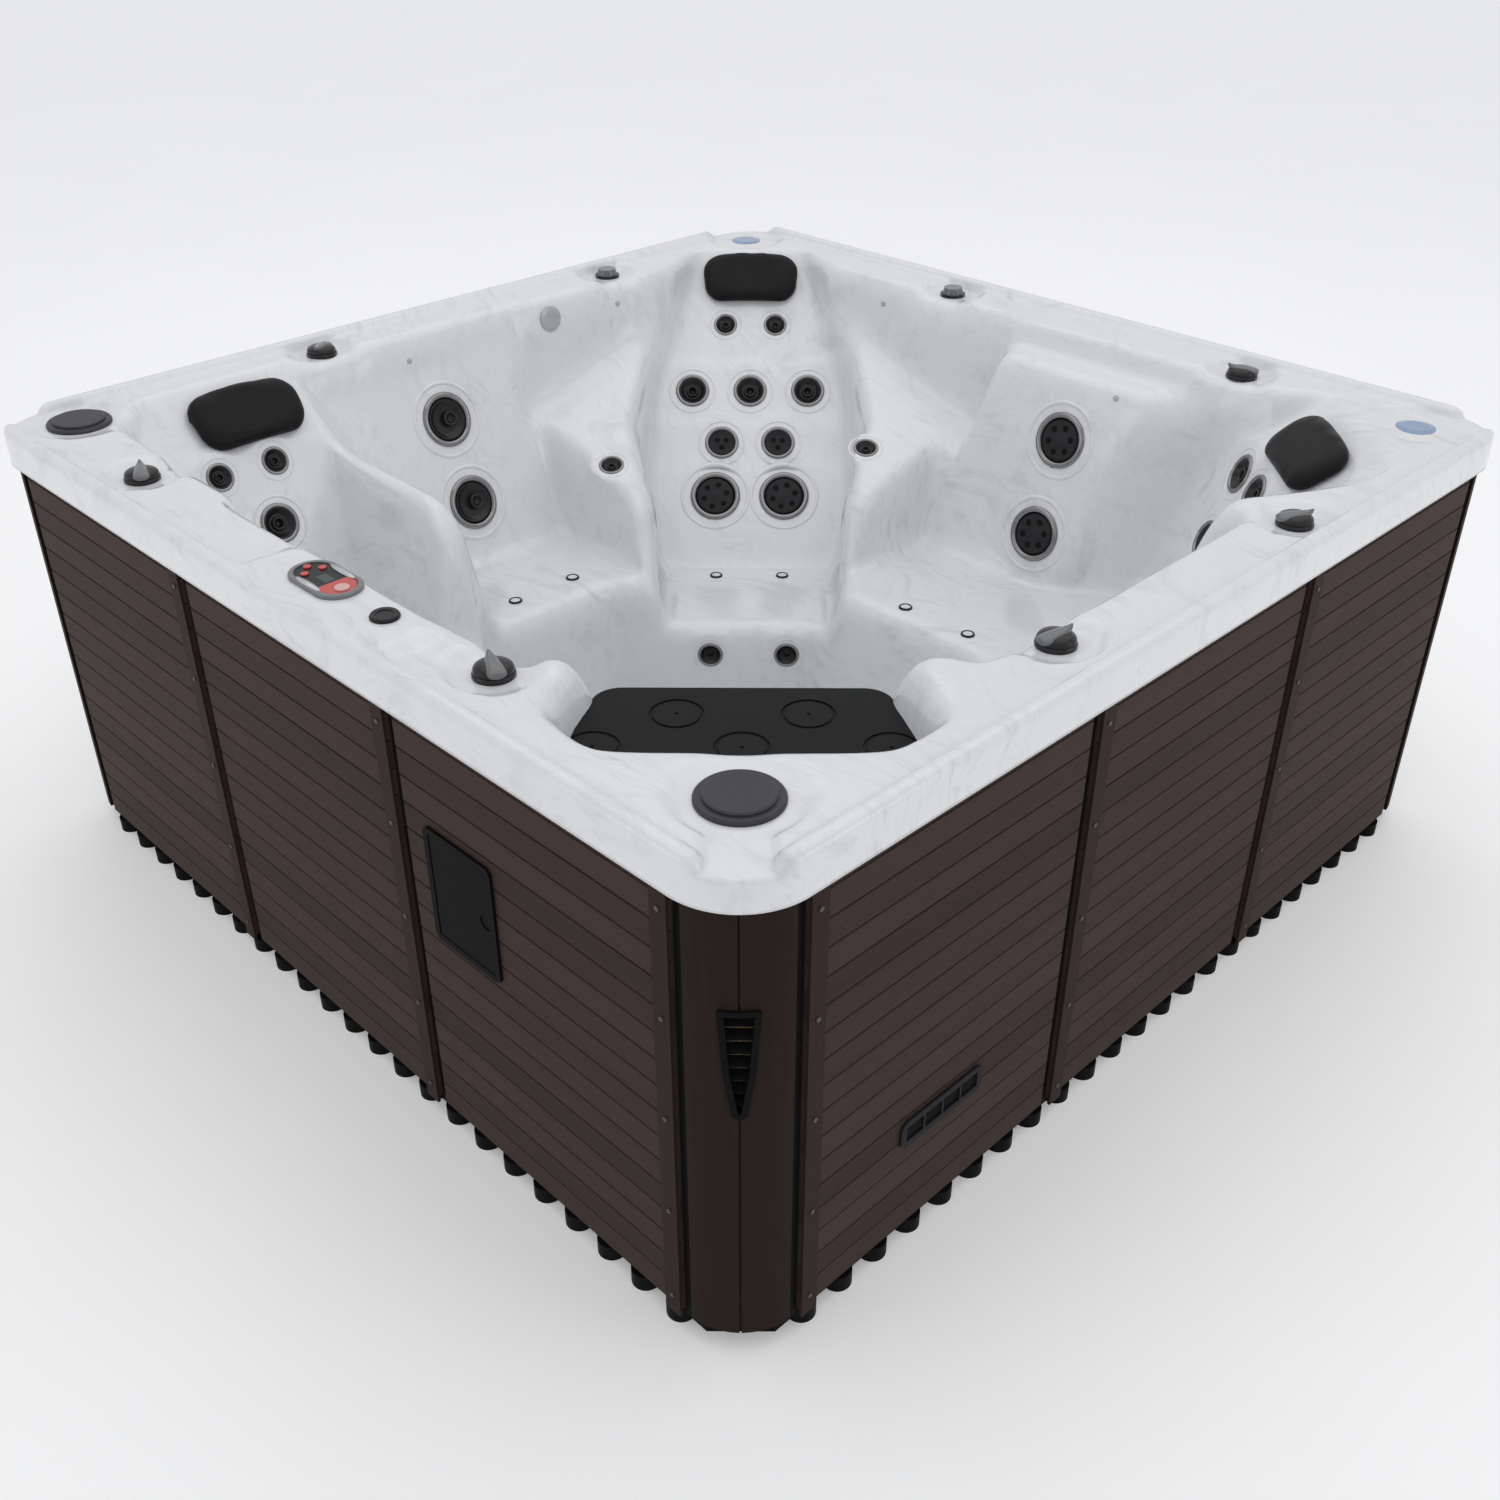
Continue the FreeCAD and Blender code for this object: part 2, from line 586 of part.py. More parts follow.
def pad(body, sketch, name, length):
    item = body.newObject("PartDesign::Pad", name)
    item.Profile = sketch
    return bound(item, Length=length)


def pocket(body, sketch, name, length, is_reversed=False):
    item = body.newObject("PartDesign::Pocket", name)
    item.Profile = sketch
    item.Reversed = is_reversed
    return bound(item, Length=length)


def rounded_edges(body, base, name, radius, test):
    """Fillet on the edges of a body's feature that pass a test of their two ends."""
    DOC.recompute()
    names = ["Edge%d" % number for number, edge in enumerate(base.Shape.Edges, start=1)
             if len(edge.Vertexes) == 2 and test(edge.Vertexes[0].Point, edge.Vertexes[1].Point)]
    item = body.newObject("PartDesign::Fillet", name)
    item.Base = (base, names)
    return bound(item, Radius=radius)


def lathe(name, corners):
    """Body turned about its own Z axis from (radius, height) corners."""
    body = DOC.addObject("PartDesign::Body", name)
    sketch = polygon(sketch_on(body, "XZ_Plane", name + "_profile"), corners)
    turn = body.newObject("PartDesign::Revolution", name + "_turn")
    turn.Profile = sketch
    turn.ReferenceAxis = (sketch, ["V_Axis"])
    turn.Angle = 360.0
    return body


def square(half, radius):
    return [(-half, -half, radius), (half, -half, radius), (half, half, radius), (-half, half, radius)]


def slab(corners, low, high):
    return Part.Face(level_wire(corners, low)).extrude(Vector(0, 0, high - low))


# Places on the deck, x and y as shares of rim_half.
LEVER_SHARES = {
    "front_right": (0.450, -1.002), "right_front": (1.012, -0.294), "left_front": (-1.056, -0.376),
    "rear_right": (0.558, 1.040), "front_left": (-0.660, -1.030), "right_rear": (1.050, 0.400),
}
KNOB_SHARES = {"left_rear": (-1.066, 0.518), "rear_left": (-0.301, 1.052)}
CORNER_SHARES = {
    "front_right": (0.973, -0.973), "front_left": (-1.020, -0.990),
    "rear_left": (-1.040, 1.020), "rear_right": (0.990, 1.010),
}


def place(shares):
    return shares[0] * RIM_HALF, shares[1] * RIM_HALF


def scoop(center, grow):
    """Round dish in the deck under one control, its side flared."""
    radius = size("scoop_radius") + grow
    floor = DECK - size("scoop_depth") - grow
    flare = size("scoop_flare")
    low = Part.Wire(Part.makeCircle(radius, Vector(center[0], center[1], floor)))
    high = Part.Wire(Part.makeCircle(radius + flare, Vector(center[0], center[1], DECK)))
    return Part.makeLoft([low, high], True, True)


def corner_recess(center, grow):
    """Round recess with a channel that drains it over the corner of the lip."""
    radius = size("corner_recess_radius") + grow
    floor = DECK - size("corner_recess_depth") - grow
    bowl_cut = Part.makeCylinder(radius, ABOVE - floor, Vector(center[0], center[1], floor))
    half = size("corner_channel_half") + grow
    outward = math.degrees(math.atan2(center[1], center[0]))
    outward = 90 * round((outward - 45) / 90) + 45
    channel = Part.makeBox(LIP_HALF, 2 * half, ABOVE - floor, Vector(0, -half, floor))
    channel.Placement = Placement(Vector(center[0], center[1], 0), Rotation(Vector(0, 0, 1), outward))
    return bowl_cut.fuse(channel)


def lip():
    """Deck, turned-down lip and raised ridge, with the dished places for the fittings."""
    radius = size("lip_corner_radius")
    bottom = size("lip_bottom")
    ridge = size("ridge_width")
    full = slab(square(LIP_HALF, radius), bottom, TOP)
    rim_edges = [edge for edge in full.Edges
                 if edge.Vertexes[0].Z > TOP - WALL and edge.Vertexes[-1].Z > TOP - WALL]
    full = full.makeFillet(size("lip_edge_radius"), rim_edges)
    dishes = [scoop(place(shares), WALL) for shares in LEVER_SHARES.values()]
    dishes += [scoop(place(shares), WALL) for shares in KNOB_SHARES.values()]
    dishes += [corner_recess(place(shares), WALL) for shares in CORNER_SHARES.values()]
    hollow = slab(square(LIP_HALF - WALL, radius - WALL), bottom, DECK - WALL)
    hollow = hollow.cut(dishes)
    pocket = slab(square(LIP_HALF - ridge, radius - ridge), DECK, ABOVE)
    half = size("ridge_gap_half")
    middle = size("ridge_gap_center")
    corner = size("panel_deck_radius")
    front = size("panel_deck_front")
    outer = -LIP_HALF + ridge / 2
    raised = slab([(middle - half, outer, corner), (middle + half, outer, corner),
                   (middle + half, -front, corner), (middle - half, -front, corner)], DECK, TOP)
    return full.cut(hollow).cut(pocket.cut(raised))


def shell_shape():
    inside = bowl(0)
    outside = bowl(WALL).common(Part.makeBox(2 * LIP_HALF, 2 * LIP_HALF, DECK - WALL / 2,
                                             Vector(-LIP_HALF, -LIP_HALF, 0)))
    dishes = [scoop(place(shares), 0) for shares in LEVER_SHARES.values()]
    dishes += [scoop(place(shares), 0) for shares in KNOB_SHARES.values()]
    dishes += [corner_recess(place(shares), 0) for shares in CORNER_SHARES.values()]
    return lip().fuse(outside).cut([inside] + dishes)


def direction(outward):
    """Unit vectors of a seat: the way it backs on to, and across it."""
    turn = math.radians(outward)
    return Vector(math.cos(turn), math.sin(turn), 0), Vector(-math.sin(turn), math.cos(turn), 0)


def facing(point, normal):
    return Placement(point, Rotation(UP, normal))


def seat_on(shape, target, toward):
    """Placement on the first surface of a shape met from the open side of a target point."""
    start = target - toward * (0.16 * RIM_HALF)
    ray = Part.makeLine(start, start + toward * (0.45 * RIM_HALF))
    meets = [(Vector(vertex.X, vertex.Y, vertex.Z) - start).Length
             for vertex in shape.common(ray).Vertexes]
    hit = start + toward * min(meets)
    spot = Part.Vertex(hit)
    normal = -toward
    for face in shape.Faces:
        box = face.BoundBox
        box.enlarge(0.1 * WALL)
        if box.isInside(hit) and face.distToShape(spot)[0] < 0.001 * WALL:
            normal = face.normalAt(*face.Surface.parameter(hit))
            break
    if normal.dot(toward) > 0:
        normal = -normal
    return facing(hit, normal)


# Fittings in the walls: x and y as shares of rim_half, z of tub_height, then the way the wall lies
# as an angle in plan, or None for straight down.
JET_SHARES = {
    "large": [(-0.458, 0.590, 0.4569, REAR_LEFT), (-0.590, 0.458, 0.4569, REAR_LEFT),
              (0.215, 0.780, 0.5438, REAR), (0.215, 0.833, 0.7713, REAR),
              (-0.862, -0.124, 0.5711, LEFT), (-0.941, -0.124, 0.7713, LEFT)],
    "medium": [(-0.565, 0.674, 0.5671, REAR_LEFT), (-0.674, 0.565, 0.5671, REAR_LEFT),
               (-0.586, 0.811, 0.6773, REAR_LEFT), (-0.699, 0.699, 0.6773, REAR_LEFT),
               (-0.811, 0.586, 0.6773, REAR_LEFT), (-0.823, -0.673, 0.7046, LEFT),
               (0.672, 0.877, 0.8148, REAR_RIGHT), (0.812, 0.856, 0.8148, REAR_RIGHT),
               (0.651, 0.823, 0.6631, REAR_RIGHT)],
    "small": [(-0.818, 0.916, 0.8168, REAR_LEFT), (-0.916, 0.818, 0.8168, REAR_LEFT),
              (-0.876, -0.765, 0.8259, LEFT), (-0.876, -0.628, 0.8259, LEFT),
              (-0.560, 0.231, 0.5105, REAR_LEFT + 90.0), (-0.231, 0.560, 0.5105, REAR_LEFT - 90.0),
              (-0.674, 0.178, 0.6520, None), (-0.256, 0.680, 0.6520, None),
              (-0.160, 0.296, 0.2436, REAR_LEFT), (-0.296, 0.160, 0.2436, REAR_LEFT)],
    "air": [(-0.573, -0.048, 0.4347, None), (-0.573, -0.226, 0.4347, None),
            (0.118, 0.418, 0.4347, None), (0.308, 0.419, 0.4347, None),
            (-0.3825, 0.507, 0.3235, None), (-0.507, 0.3825, 0.3235, None)],
    "light": [(-0.995, 0.254, 0.9320, LEFT)],
    "dot": [(-0.980, -0.180, 0.9239, LEFT), (-0.985, 0.480, 0.9239, LEFT),
            (-0.480, 0.980, 0.9239, REAR), (0.330, 0.980, 0.8997, REAR),
            (0.965, -0.100, 0.9283, RIGHT), (0.965, 0.300, 0.9283, RIGHT)],
    "suction": [(0.065, -0.440, 0.1820, FRONT), (0.205, -0.440, 0.1820, FRONT)],
}


def spots(shape, kind):
    """Placements of one kind of fitting on the shell's wet side."""
    found = []
    for x, y, z, outward in JET_SHARES[kind]:
        toward = -UP if outward is None else direction(outward)[0]
        found.append(seat_on(shape, Vector(x * RIM_HALF, y * RIM_HALF, z * TOP), toward))
    return found


def bore_through(places, radius, depth):
    """Cylinders along each placement's own axis, for the holes behind the fittings."""
    rods = []
    for place in places:
        drill = Part.makeCylinder(radius, depth + WALL, Vector(0, 0, -depth))
        drill.Placement = place
        rods.append(drill)
    return rods


BLANK = shell_shape()
SPOTS = {kind: spots(BLANK, kind) for kind in JET_SHARES}
GAP = size("fit_gap")
VALVE_FLOOR = DECK - size("scoop_depth")
CAP_FLOOR = DECK - size("corner_recess_depth")


def deck_bores():
    """Holes in the deck for the valves, knobs, speakers and control panel."""
    tools = []
    for table, stem in ((LEVER_SHARES, "valve_stem_radius"), (KNOB_SHARES, "knob_stem_radius")):
        for shares in table.values():
            x, y = place(shares)
            tools.append(Part.makeCylinder(size(stem) + GAP, 2 * OVER, Vector(x, y, VALVE_FLOOR - OVER)))
    for corner in ("front_right", "front_left"):
        x, y = place(CORNER_SHARES[corner])
        radius = size("speaker_radius") + 2 * GAP + size("sleeve_wall")
        tools.append(Part.makeCylinder(radius, 2 * OVER, Vector(x, y, CAP_FLOOR - OVER)))
    inset = size("topside_border")
    length = size("topside_length") - 2 * inset
    width = size("topside_width") - 2 * inset
    tools.append(Part.makeBox(length - width, width, 2 * OVER,
                              Vector(size("topside_x") - (length - width) / 2,
                                     size("topside_y") - width / 2, TOP - OVER)))
    tools.append(Part.makeCylinder(size("keypad_radius") / 2, 2 * OVER,
                                   Vector(size("keypad_x"), size("keypad_y"), TOP - OVER)))
    return tools


def mouth_block(grow, back, front):
    """Block of the mouth between the tub and the filter well."""
    half = size("throat_half") - grow
    low = size("throat_bottom") + grow
    high = size("throat_top") - grow
    box = Part.makeBox(front - back, 2 * half, high - low, Vector(back, -half, low))
    box.Placement = Placement(Vector(), Rotation(UP, FRONT_RIGHT))
    return box


def bored_shell():
    tools = deck_bores()
    for kind, radius, depth in (("large", "jet_large_barrel", "jet_large_length"),
                                ("medium", "jet_medium_barrel", "jet_medium_length"),
                                ("small", "jet_small_barrel", "jet_small_length"),
                                ("air", "air_inlet_barrel", "air_inlet_length"),
                                ("suction", "pipe_radius", "suction_depth")):
        tools += bore_through(SPOTS[kind], size(radius) + GAP, size(depth))
    line = size("throat_line")
    tools.append(mouth_block(0, line - OVER, line + size("throat_reach")))
    return BLANK.cut(tools)


keep("shell", feature("shell", bored_shell()))


# Base tray with its upright lugs.
def chamfered(half, chamfer, low, high):
    reach = half - chamfer
    points = [(half, -reach), (half, reach), (reach, half), (-reach, half), (-half, reach),
              (-half, -reach), (-reach, -half), (reach, -half)]
    wire = Part.makePolygon([Vector(x, y, low) for x, y in points + points[:1]])
    return Part.Face(wire).extrude(Vector(0, 0, high - low))


def base_shape():
    half = size("base_half")
    rim = size("tray_rim")
    height = size("base_height")
    floor = size("tray_floor")
    tray = chamfered(half, size("base_chamfer"), 0, height)
    inner = half - rim
    tray = tray.cut(chamfered(inner, size("base_chamfer") / 2, floor, height + floor))
    lugs = []
    count = int(size("lug_count"))
    for side in range(4):
        for index in range(count):
            along = (index - (count - 1) / 2) * size("lug_pitch")
            lug = Part.makeCylinder(size("lug_radius"), height, Vector(along, -half, 0))
            lug.rotate(Vector(), UP, 90 * side)
            lugs.append(lug)
    ribs = []
    for index in (-1, 0, 1):
        middle = index * size("rib_pitch")
        reach = size("rib_half")
        ribs.append(Part.makeBox(size("rib_width"), 2 * reach, FLOOR - WALL - floor,
                                 Vector(middle - size("rib_width") / 2, -reach, floor)))
    return tray.fuse(lugs + ribs)


keep("base_pan", feature("base_pan", base_shape()))


# Timber frame: rails at the foot and top of each side, posts between them.
OUTER = "- cabinet_half + panel_thickness"
INNER = OUTER + " + timber_thick"
rail_low = block("rail_low", ("- post_line", OUTER, "base_height"),
                 ("post_line", INNER, "base_height + timber_width"))
rail_high = block("rail_high", ("- post_line", OUTER, "rail_top - timber_width"),
                  ("post_line", INNER, "rail_top"))
keep("frame_rails", group("frame_rails_set", [copied(rail, quarter(side)) for side in range(4)
                                              for rail in (rail_low, rail_high)]))
upright = block("upright", ("block_line - timber_width / 2", OUTER, "base_height + timber_width"),
                ("block_line + timber_width / 2", INNER, "rail_top - timber_width"))
spacer = block("spacer", ("block_line - timber_thick / 2", OUTER, "rail_top"),
               ("block_line + timber_thick / 2", INNER, "tub_height - deck_drop - shell_wall"))
corner_timber = block("corner_timber", ("post_line - timber_thick", INNER, "base_height"),
                      ("cabinet_half - panel_thickness - timber_thick", "timber_thick - post_line",
                       "corner_timber_top"))
mirror_shift = -2 * size("block_line")
keep("frame_posts", group("frame_posts_set",
                          [copied(item, quarter(side, x)) for side in range(4)
                           for item in (upright, spacer) for x in (0.0, mirror_shift)]
                          + [copied(corner_timber, quarter(side)) for side in range(4)]))


PANEL_TOP = "panel_bottom + slats_tall"


# Slatted panels: a board cut by one groove repeated up the panel.
def slatted(name, low, high, opening=None):
    body = DOC.addObject("PartDesign::Body", name)
    outline = sketch_on(body, "XZ_Plane", name + "_outline", "cabinet_half - panel_thickness")
    polygon(outline, [(low, "panel_bottom"), (high, "panel_bottom"), (high, PANEL_TOP), (low, PANEL_TOP)])
    pad(body, outline, name + "_board", "panel_thickness")
    notch = sketch_on(body, "YZ_Plane", name + "_notch", low)
    polygon(notch, [("- cabinet_half", "panel_bottom + slat_pitch - 0.5 * slat_groove"),
                    ("- cabinet_half + slat_groove_depth", "panel_bottom + slat_pitch"),
                    ("- cabinet_half", "panel_bottom + slat_pitch + 0.5 * slat_groove")])
    groove = pocket(body, notch, name + "_groove", "( %s ) - ( %s )" % (high, low), True)
    pattern = body.newObject("PartDesign::LinearPattern", name + "_grooves")
    pattern.Originals = [groove]
    pattern.Direction = (notch, ["V_Axis"])
    bound(pattern, Length="slat_pitch * ( slat_count - 2 )", Occurrences="slat_count - 1")
    body.Tip = pattern
    if opening:
        (left, right, foot, head), radius = opening
        window = sketch_on(body, "XZ_Plane", name + "_window", "cabinet_half")
        polygon(window, [(left, foot), (right, foot), (right, head), (left, head)])
        hole = pocket(body, window, name + "_opening", "panel_thickness")
        x_span, z_span = (amount(left), amount(right)), (amount(foot), amount(head))

        def in_opening(start, end):
            return (abs(start.y - end.y) > WALL and min(abs(start.x - x) for x in x_span) < GAP
                    and min(abs(start.z - z) for z in z_span) < GAP)

        rounded_edges(body, hole, name + "_corners", radius, in_opening)
    return body


LOCKER_HOLE = ("locker_center - 0.5 * locker_width", "locker_center + 0.5 * locker_width",
               "locker_height - 0.5 * locker_tall", "locker_height + 0.5 * locker_tall")
VENT_HOLE = ("side_vent_center - 0.5 * side_vent_length + side_vent_lip",
             "side_vent_center + 0.5 * side_vent_length - side_vent_lip",
             "side_vent_height - 0.5 * side_vent_width + side_vent_lip",
             "side_vent_height + 0.5 * side_vent_width - side_vent_lip")
NEAR_EDGE = "channel_line + 0.5 * channel_width"
FAR_EDGE = "post_line - 0.5 * channel_width"
middle_panel = slatted("middle_panel", "- channel_line + 0.5 * channel_width",
                       "channel_line - 0.5 * channel_width")
end_panel = slatted("end_panel", NEAR_EDGE, FAR_EDGE)
locker_panel = slatted("locker_panel", NEAR_EDGE, FAR_EDGE, (LOCKER_HOLE, "locker_radius"))
vent_panel = slatted("vent_panel", "- post_line + 0.5 * channel_width",
                     "- channel_line - 0.5 * channel_width", (VENT_HOLE, "side_vent_lip"))
panel_shift = -(size("channel_line") + size("post_line"))
keep("front_panels", group("front_panels_set", [
    copied(middle_panel, quarter(0)), copied(end_panel, quarter(0, panel_shift)),
    copied(locker_panel, quarter(0))]))
keep("right_panels", group("right_panels_set", [
    copied(middle_panel, quarter(1)), copied(end_panel, quarter(1)),
    copied(vent_panel, quarter(1))]))
keep("plain_panels", group("plain_panels_set", [
    copied(item, quarter(side, x)) for side in (2, 3)
    for item, x in ((middle_panel, 0.0), (end_panel, 0.0), (end_panel, panel_shift))]))

# Upright stiles with their screws, and the dark channels between the panels.
STILE_SIDE = "- channel_line + 0.5 * channel_width"
stile = block("stile", (STILE_SIDE, "- cabinet_half - stile_proud", "stile_bottom"),
              (STILE_SIDE + " + stile_width", "- cabinet_half", "lip_bottom - lip_gap"))
STILE_STARTS = (size("channel_line") - size("channel_width") / 2,
                size("channel_line") + size("channel_width") / 2,
                size("post_line") - size("channel_width") / 2)
HIGH_SHIFTS = [2 * STILE_STARTS[0] - size("stile_width"),
               STILE_STARTS[2] + STILE_STARTS[0] - size("stile_width"),
               STILE_STARTS[0] - STILE_STARTS[1] - size("stile_width")]
LOW_SHIFTS = [0.0, STILE_STARTS[0] - STILE_STARTS[2], STILE_STARTS[0] + STILE_STARTS[1]]
STILE_PLACES = [quarter(side, x) for side, shifts in ((0, HIGH_SHIFTS), (1, LOW_SHIFTS),
                                                      (2, HIGH_SHIFTS), (3, LOW_SHIFTS)) for x in shifts]
keep("panel_stiles", group("panel_stiles_set", [copied(stile, spot) for spot in STILE_PLACES]))
SCREW_SPAN = "( lip_bottom - stile_bottom - 2 * screw_margin )"
screws = []
for index in range(int(size("screw_count"))):
    level = "stile_bottom + screw_margin + %s * %d / ( screw_count - 1 )" % (SCREW_SPAN, index)
    screws.append(rod("screw_%d" % index, "screw_radius",
                      (STILE_SIDE + " + 0.5 * stile_width", "- cabinet_half - stile_proud", level),
                      "screw_head", Vector(0, -1, 0)))
keep("panel_screws", group("panel_screws_set", [copied(screw, spot) for spot in STILE_PLACES
                                                for screw in screws]))
CHANNEL_FACE = "- cabinet_half + channel_setback"
channel = block("channel", ("channel_line - 0.5 * channel_width", CHANNEL_FACE, "stile_bottom"),
                ("channel_line + 0.5 * channel_width", OUTER, PANEL_TOP))
end_channel = block("end_channel", (FAR_EDGE, CHANNEL_FACE, "stile_bottom"),
                    ("post_line + 0.5 * channel_width", OUTER, PANEL_TOP))
far_shift = -2 * size("post_line")
keep("panel_channels", group("panel_channels_set", [
    copied(item, quarter(side, x)) for side in range(4)
    for item, x in ((channel, 0.0), (channel, -2 * size("channel_line")),
                    (end_channel, 0.0), (end_channel, far_shift))]))


# Rounded corner boards: a sector of a tube with a seam down its middle.
def tube_sector(name, outer, inner):
    solid = rod(name + "_outer", outer, ("post_line", "post_line", "panel_bottom"), "slats_tall")
    solid.Angle = 90.0
    bore = rod(name + "_inner", inner, ("post_line", "post_line", "0"), "tub_height")
    edge = "post_line + 0.5 * channel_width"
    trims = [block(name + "_trim_x", ("0", "0", "0"), (edge, "2 * cabinet_half", "tub_height")),
             block(name + "_trim_y", ("0", "0", "0"), ("2 * cabinet_half", edge, "tub_height"))]
    return cut(name, solid, [bore] + trims)


OUTWARD = Vector(1, 1, 0).normalize()


def across_corner(corners, near, far):
    """Prism run out through the corner; corners are (across, height, radius)."""
    out = OUTWARD
    side = Vector(-out.y, out.x, 0)
    base = Vector(size("post_line"), size("post_line"), 0) + out * near
    wire = rounded_wire(corners, lambda a, b: base + side * a + Vector(0, 0, b))
    return Part.Face(wire).extrude(out * (far - near))


def shield(grow):
    """Outline of the corner vent: flat top, bowed sides drawn in to a rounded tip."""
    half = size("corner_vent_width") / 2
    tip = size("corner_vent_tip")
    low = size("corner_vent_bottom")
    high = size("corner_vent_top")
    waist, bow = 0.74 * half, low + 0.42 * (high - low)
    bend = high - bow
    corners = [(-tip, low, 0.8 * tip), (tip, low, 0.8 * tip), (waist, bow, bend),
               (half, high, 0.5 * tip), (-half, high, 0.5 * tip), (-waist, bow, bend)]
    return offset_corners(corners, grow)


corner_tube = tube_sector("corner_tube", "corner_radius", "corner_radius - panel_thickness")
seam_half = size("seam_width") / 2
seam_round = seam_half / 5
seam = feature("seam", across_corner(
    [(-seam_half, 0, seam_round), (seam_half, 0, seam_round),
     (seam_half, TOP, seam_round), (-seam_half, TOP, seam_round)],
    size("corner_radius") - size("slat_groove_depth"), size("corner_radius") + WALL))
corner_board = cut("corner_board", corner_tube, [seam])
THROAT = -size("corner_vent_rim") / 2
near_hole = feature("near_hole", across_corner(shield(THROAT + GAP), size("corner_radius") - 3 * WALL,
                                               size("corner_radius") + WALL))
vented_board = cut("vented_board", corner_board, [near_hole])
keep("corner_post_vented", group("corner_post_vented_set", [copied(vented_board, quarter(3))]))
keep("corner_posts", group("corner_posts_set",
                           [copied(corner_board, quarter(side)) for side in range(3)]))


def corner_vent_shape():
    """Shield rim on the curved board, a sleeve through it and slanted blades inside."""
    radius = size("corner_radius")
    proud = size("corner_vent_proud")
    middle = Vector(size("post_line"), size("post_line"), 0)
    skin = Part.makeCylinder(radius + proud, TOP, middle)
    core = Part.makeCylinder(radius, TOP, middle)
    inner_core = Part.makeCylinder(radius - size("panel_thickness"), TOP, middle)
    rim = across_corner(shield(0), 0, 2 * radius).common(skin.cut(core))
    sleeve = across_corner(shield(THROAT), 0, 2 * radius).common(skin.cut(inner_core))
    vent = rim.fuse(sleeve).cut(across_corner(shield(-size("corner_vent_rim")), 0, 2 * radius))
    blades = []
    deep, wide = size("panel_thickness"), size("corner_vent_width")
    count = int(size("corner_vent_blades"))
    pitch = (size("corner_vent_top") - size("corner_vent_bottom")) / (count + 1)
    for index in range(1, count + 1):
        blade = Part.makeBox(deep, wide, size("corner_vent_rim") / 4, Vector(-deep / 2, -wide / 2, 0))
        blade.rotate(Vector(), Vector(0, 1, 0), size("blade_tilt"))
        blade.rotate(Vector(), UP, REAR_RIGHT)
        blade.translate(middle + OUTWARD * (radius - deep / 2)
                        + UP * (size("corner_vent_bottom") + index * pitch))
        blades.append(blade.common(across_corner(shield(THROAT), 0, 2 * radius)))
    vent = vent.fuse(blades)
    vent.Placement = quarter(3)
    return vent


keep("corner_vent", feature("corner_vent", corner_vent_shape()))


# Louvred vent of the right side, drawn on the front's axes and turned with its panel.
def side_vent_body():
    body = DOC.addObject("PartDesign::Body", "side_vent_body")
    left, right = "side_vent_center - 0.5 * side_vent_length", "side_vent_center + 0.5 * side_vent_length"
    foot, head = "side_vent_height - 0.5 * side_vent_width", "side_vent_height + 0.5 * side_vent_width"
    plate = polygon(sketch_on(body, "XZ_Plane", "vent_outline", "cabinet_half"),
                    [(left, foot), (right, foot), (right, head), (left, head)])
    plate_pad = pad(body, plate, "vent_plate", "side_vent_proud")
    rounded_edges(body, plate_pad, "vent_corners", "2 * side_vent_lip",
                  lambda start, end: abs(start.y - end.y) > GAP)
    trims = (" + fit_gap", " - fit_gap", " + fit_gap", " - fit_gap")
    sleeve_left, sleeve_right, sleeve_foot, sleeve_head = [
        text + trim for text, trim in zip(VENT_HOLE, trims)]
    sleeve = polygon(sketch_on(body, "XZ_Plane", "vent_sleeve_outline", "cabinet_half - panel_thickness"),
                     [(sleeve_left, sleeve_foot), (sleeve_right, sleeve_foot),
                      (sleeve_right, sleeve_head), (sleeve_left, sleeve_head)])
    sleeve_pad = pad(body, sleeve, "vent_sleeve", "panel_thickness")
    rounded_edges(body, sleeve_pad, "vent_sleeve_corners", "side_vent_lip",
                  lambda start, end: abs(abs(start.y - end.y) - size("panel_thickness")) < GAP)
    start_x, end_x = VENT_HOLE[0] + " + side_vent_wall", VENT_HOLE[0] + " + side_vent_wall + side_vent_cell"
    low_z, high_z = VENT_HOLE[2] + " + side_vent_wall", VENT_HOLE[3] + " - side_vent_wall"
    window = polygon(sketch_on(body, "XZ_Plane", "vent_window", "cabinet_half + side_vent_proud"),
                     [(start_x, low_z), (end_x, low_z), (end_x, high_z), (start_x, high_z)])
    opening = pocket(body, window, "vent_cell", "panel_thickness + 2 * side_vent_proud")
    cells_row = body.newObject("PartDesign::LinearPattern", "vent_cells")
    cells_row.Originals = [opening]
    cells_row.Direction = (window, ["H_Axis"])
    bound(cells_row, Length="( side_vent_cells - 1 ) * ( side_vent_cell + side_vent_wall )",
          Occurrences="side_vent_cells")
    body.Tip = cells_row
    return body


def vent_blades():
    """Slanted blades that run the length of the vent."""
    long = "side_vent_length - 2 * side_vent_lip - side_vent_wall"
    blade = block("vent_blade", ("0", "0", "0"), (long, "2 * side_vent_proud", "0.5 * side_vent_wall"))
    left = size("side_vent_center") - amount(long) / 2
    face = -size("cabinet_half") - 0.4 * size("side_vent_proud")
    blades = []
    for index in (-1, 0, 1):
        level = size("side_vent_height") + 1.1 * index * size("side_vent_lip")
        blades.append(copied(blade, Placement(Vector(left, face, level),
                                              Rotation(Vector(1, 0, 0), size("blade_tilt")))))
    return blades


vent_joined = joined("vent_joined", [side_vent_body()] + vent_blades())
keep("side_vent", group("side_vent_set", [copied(vent_joined, quarter(1))]))


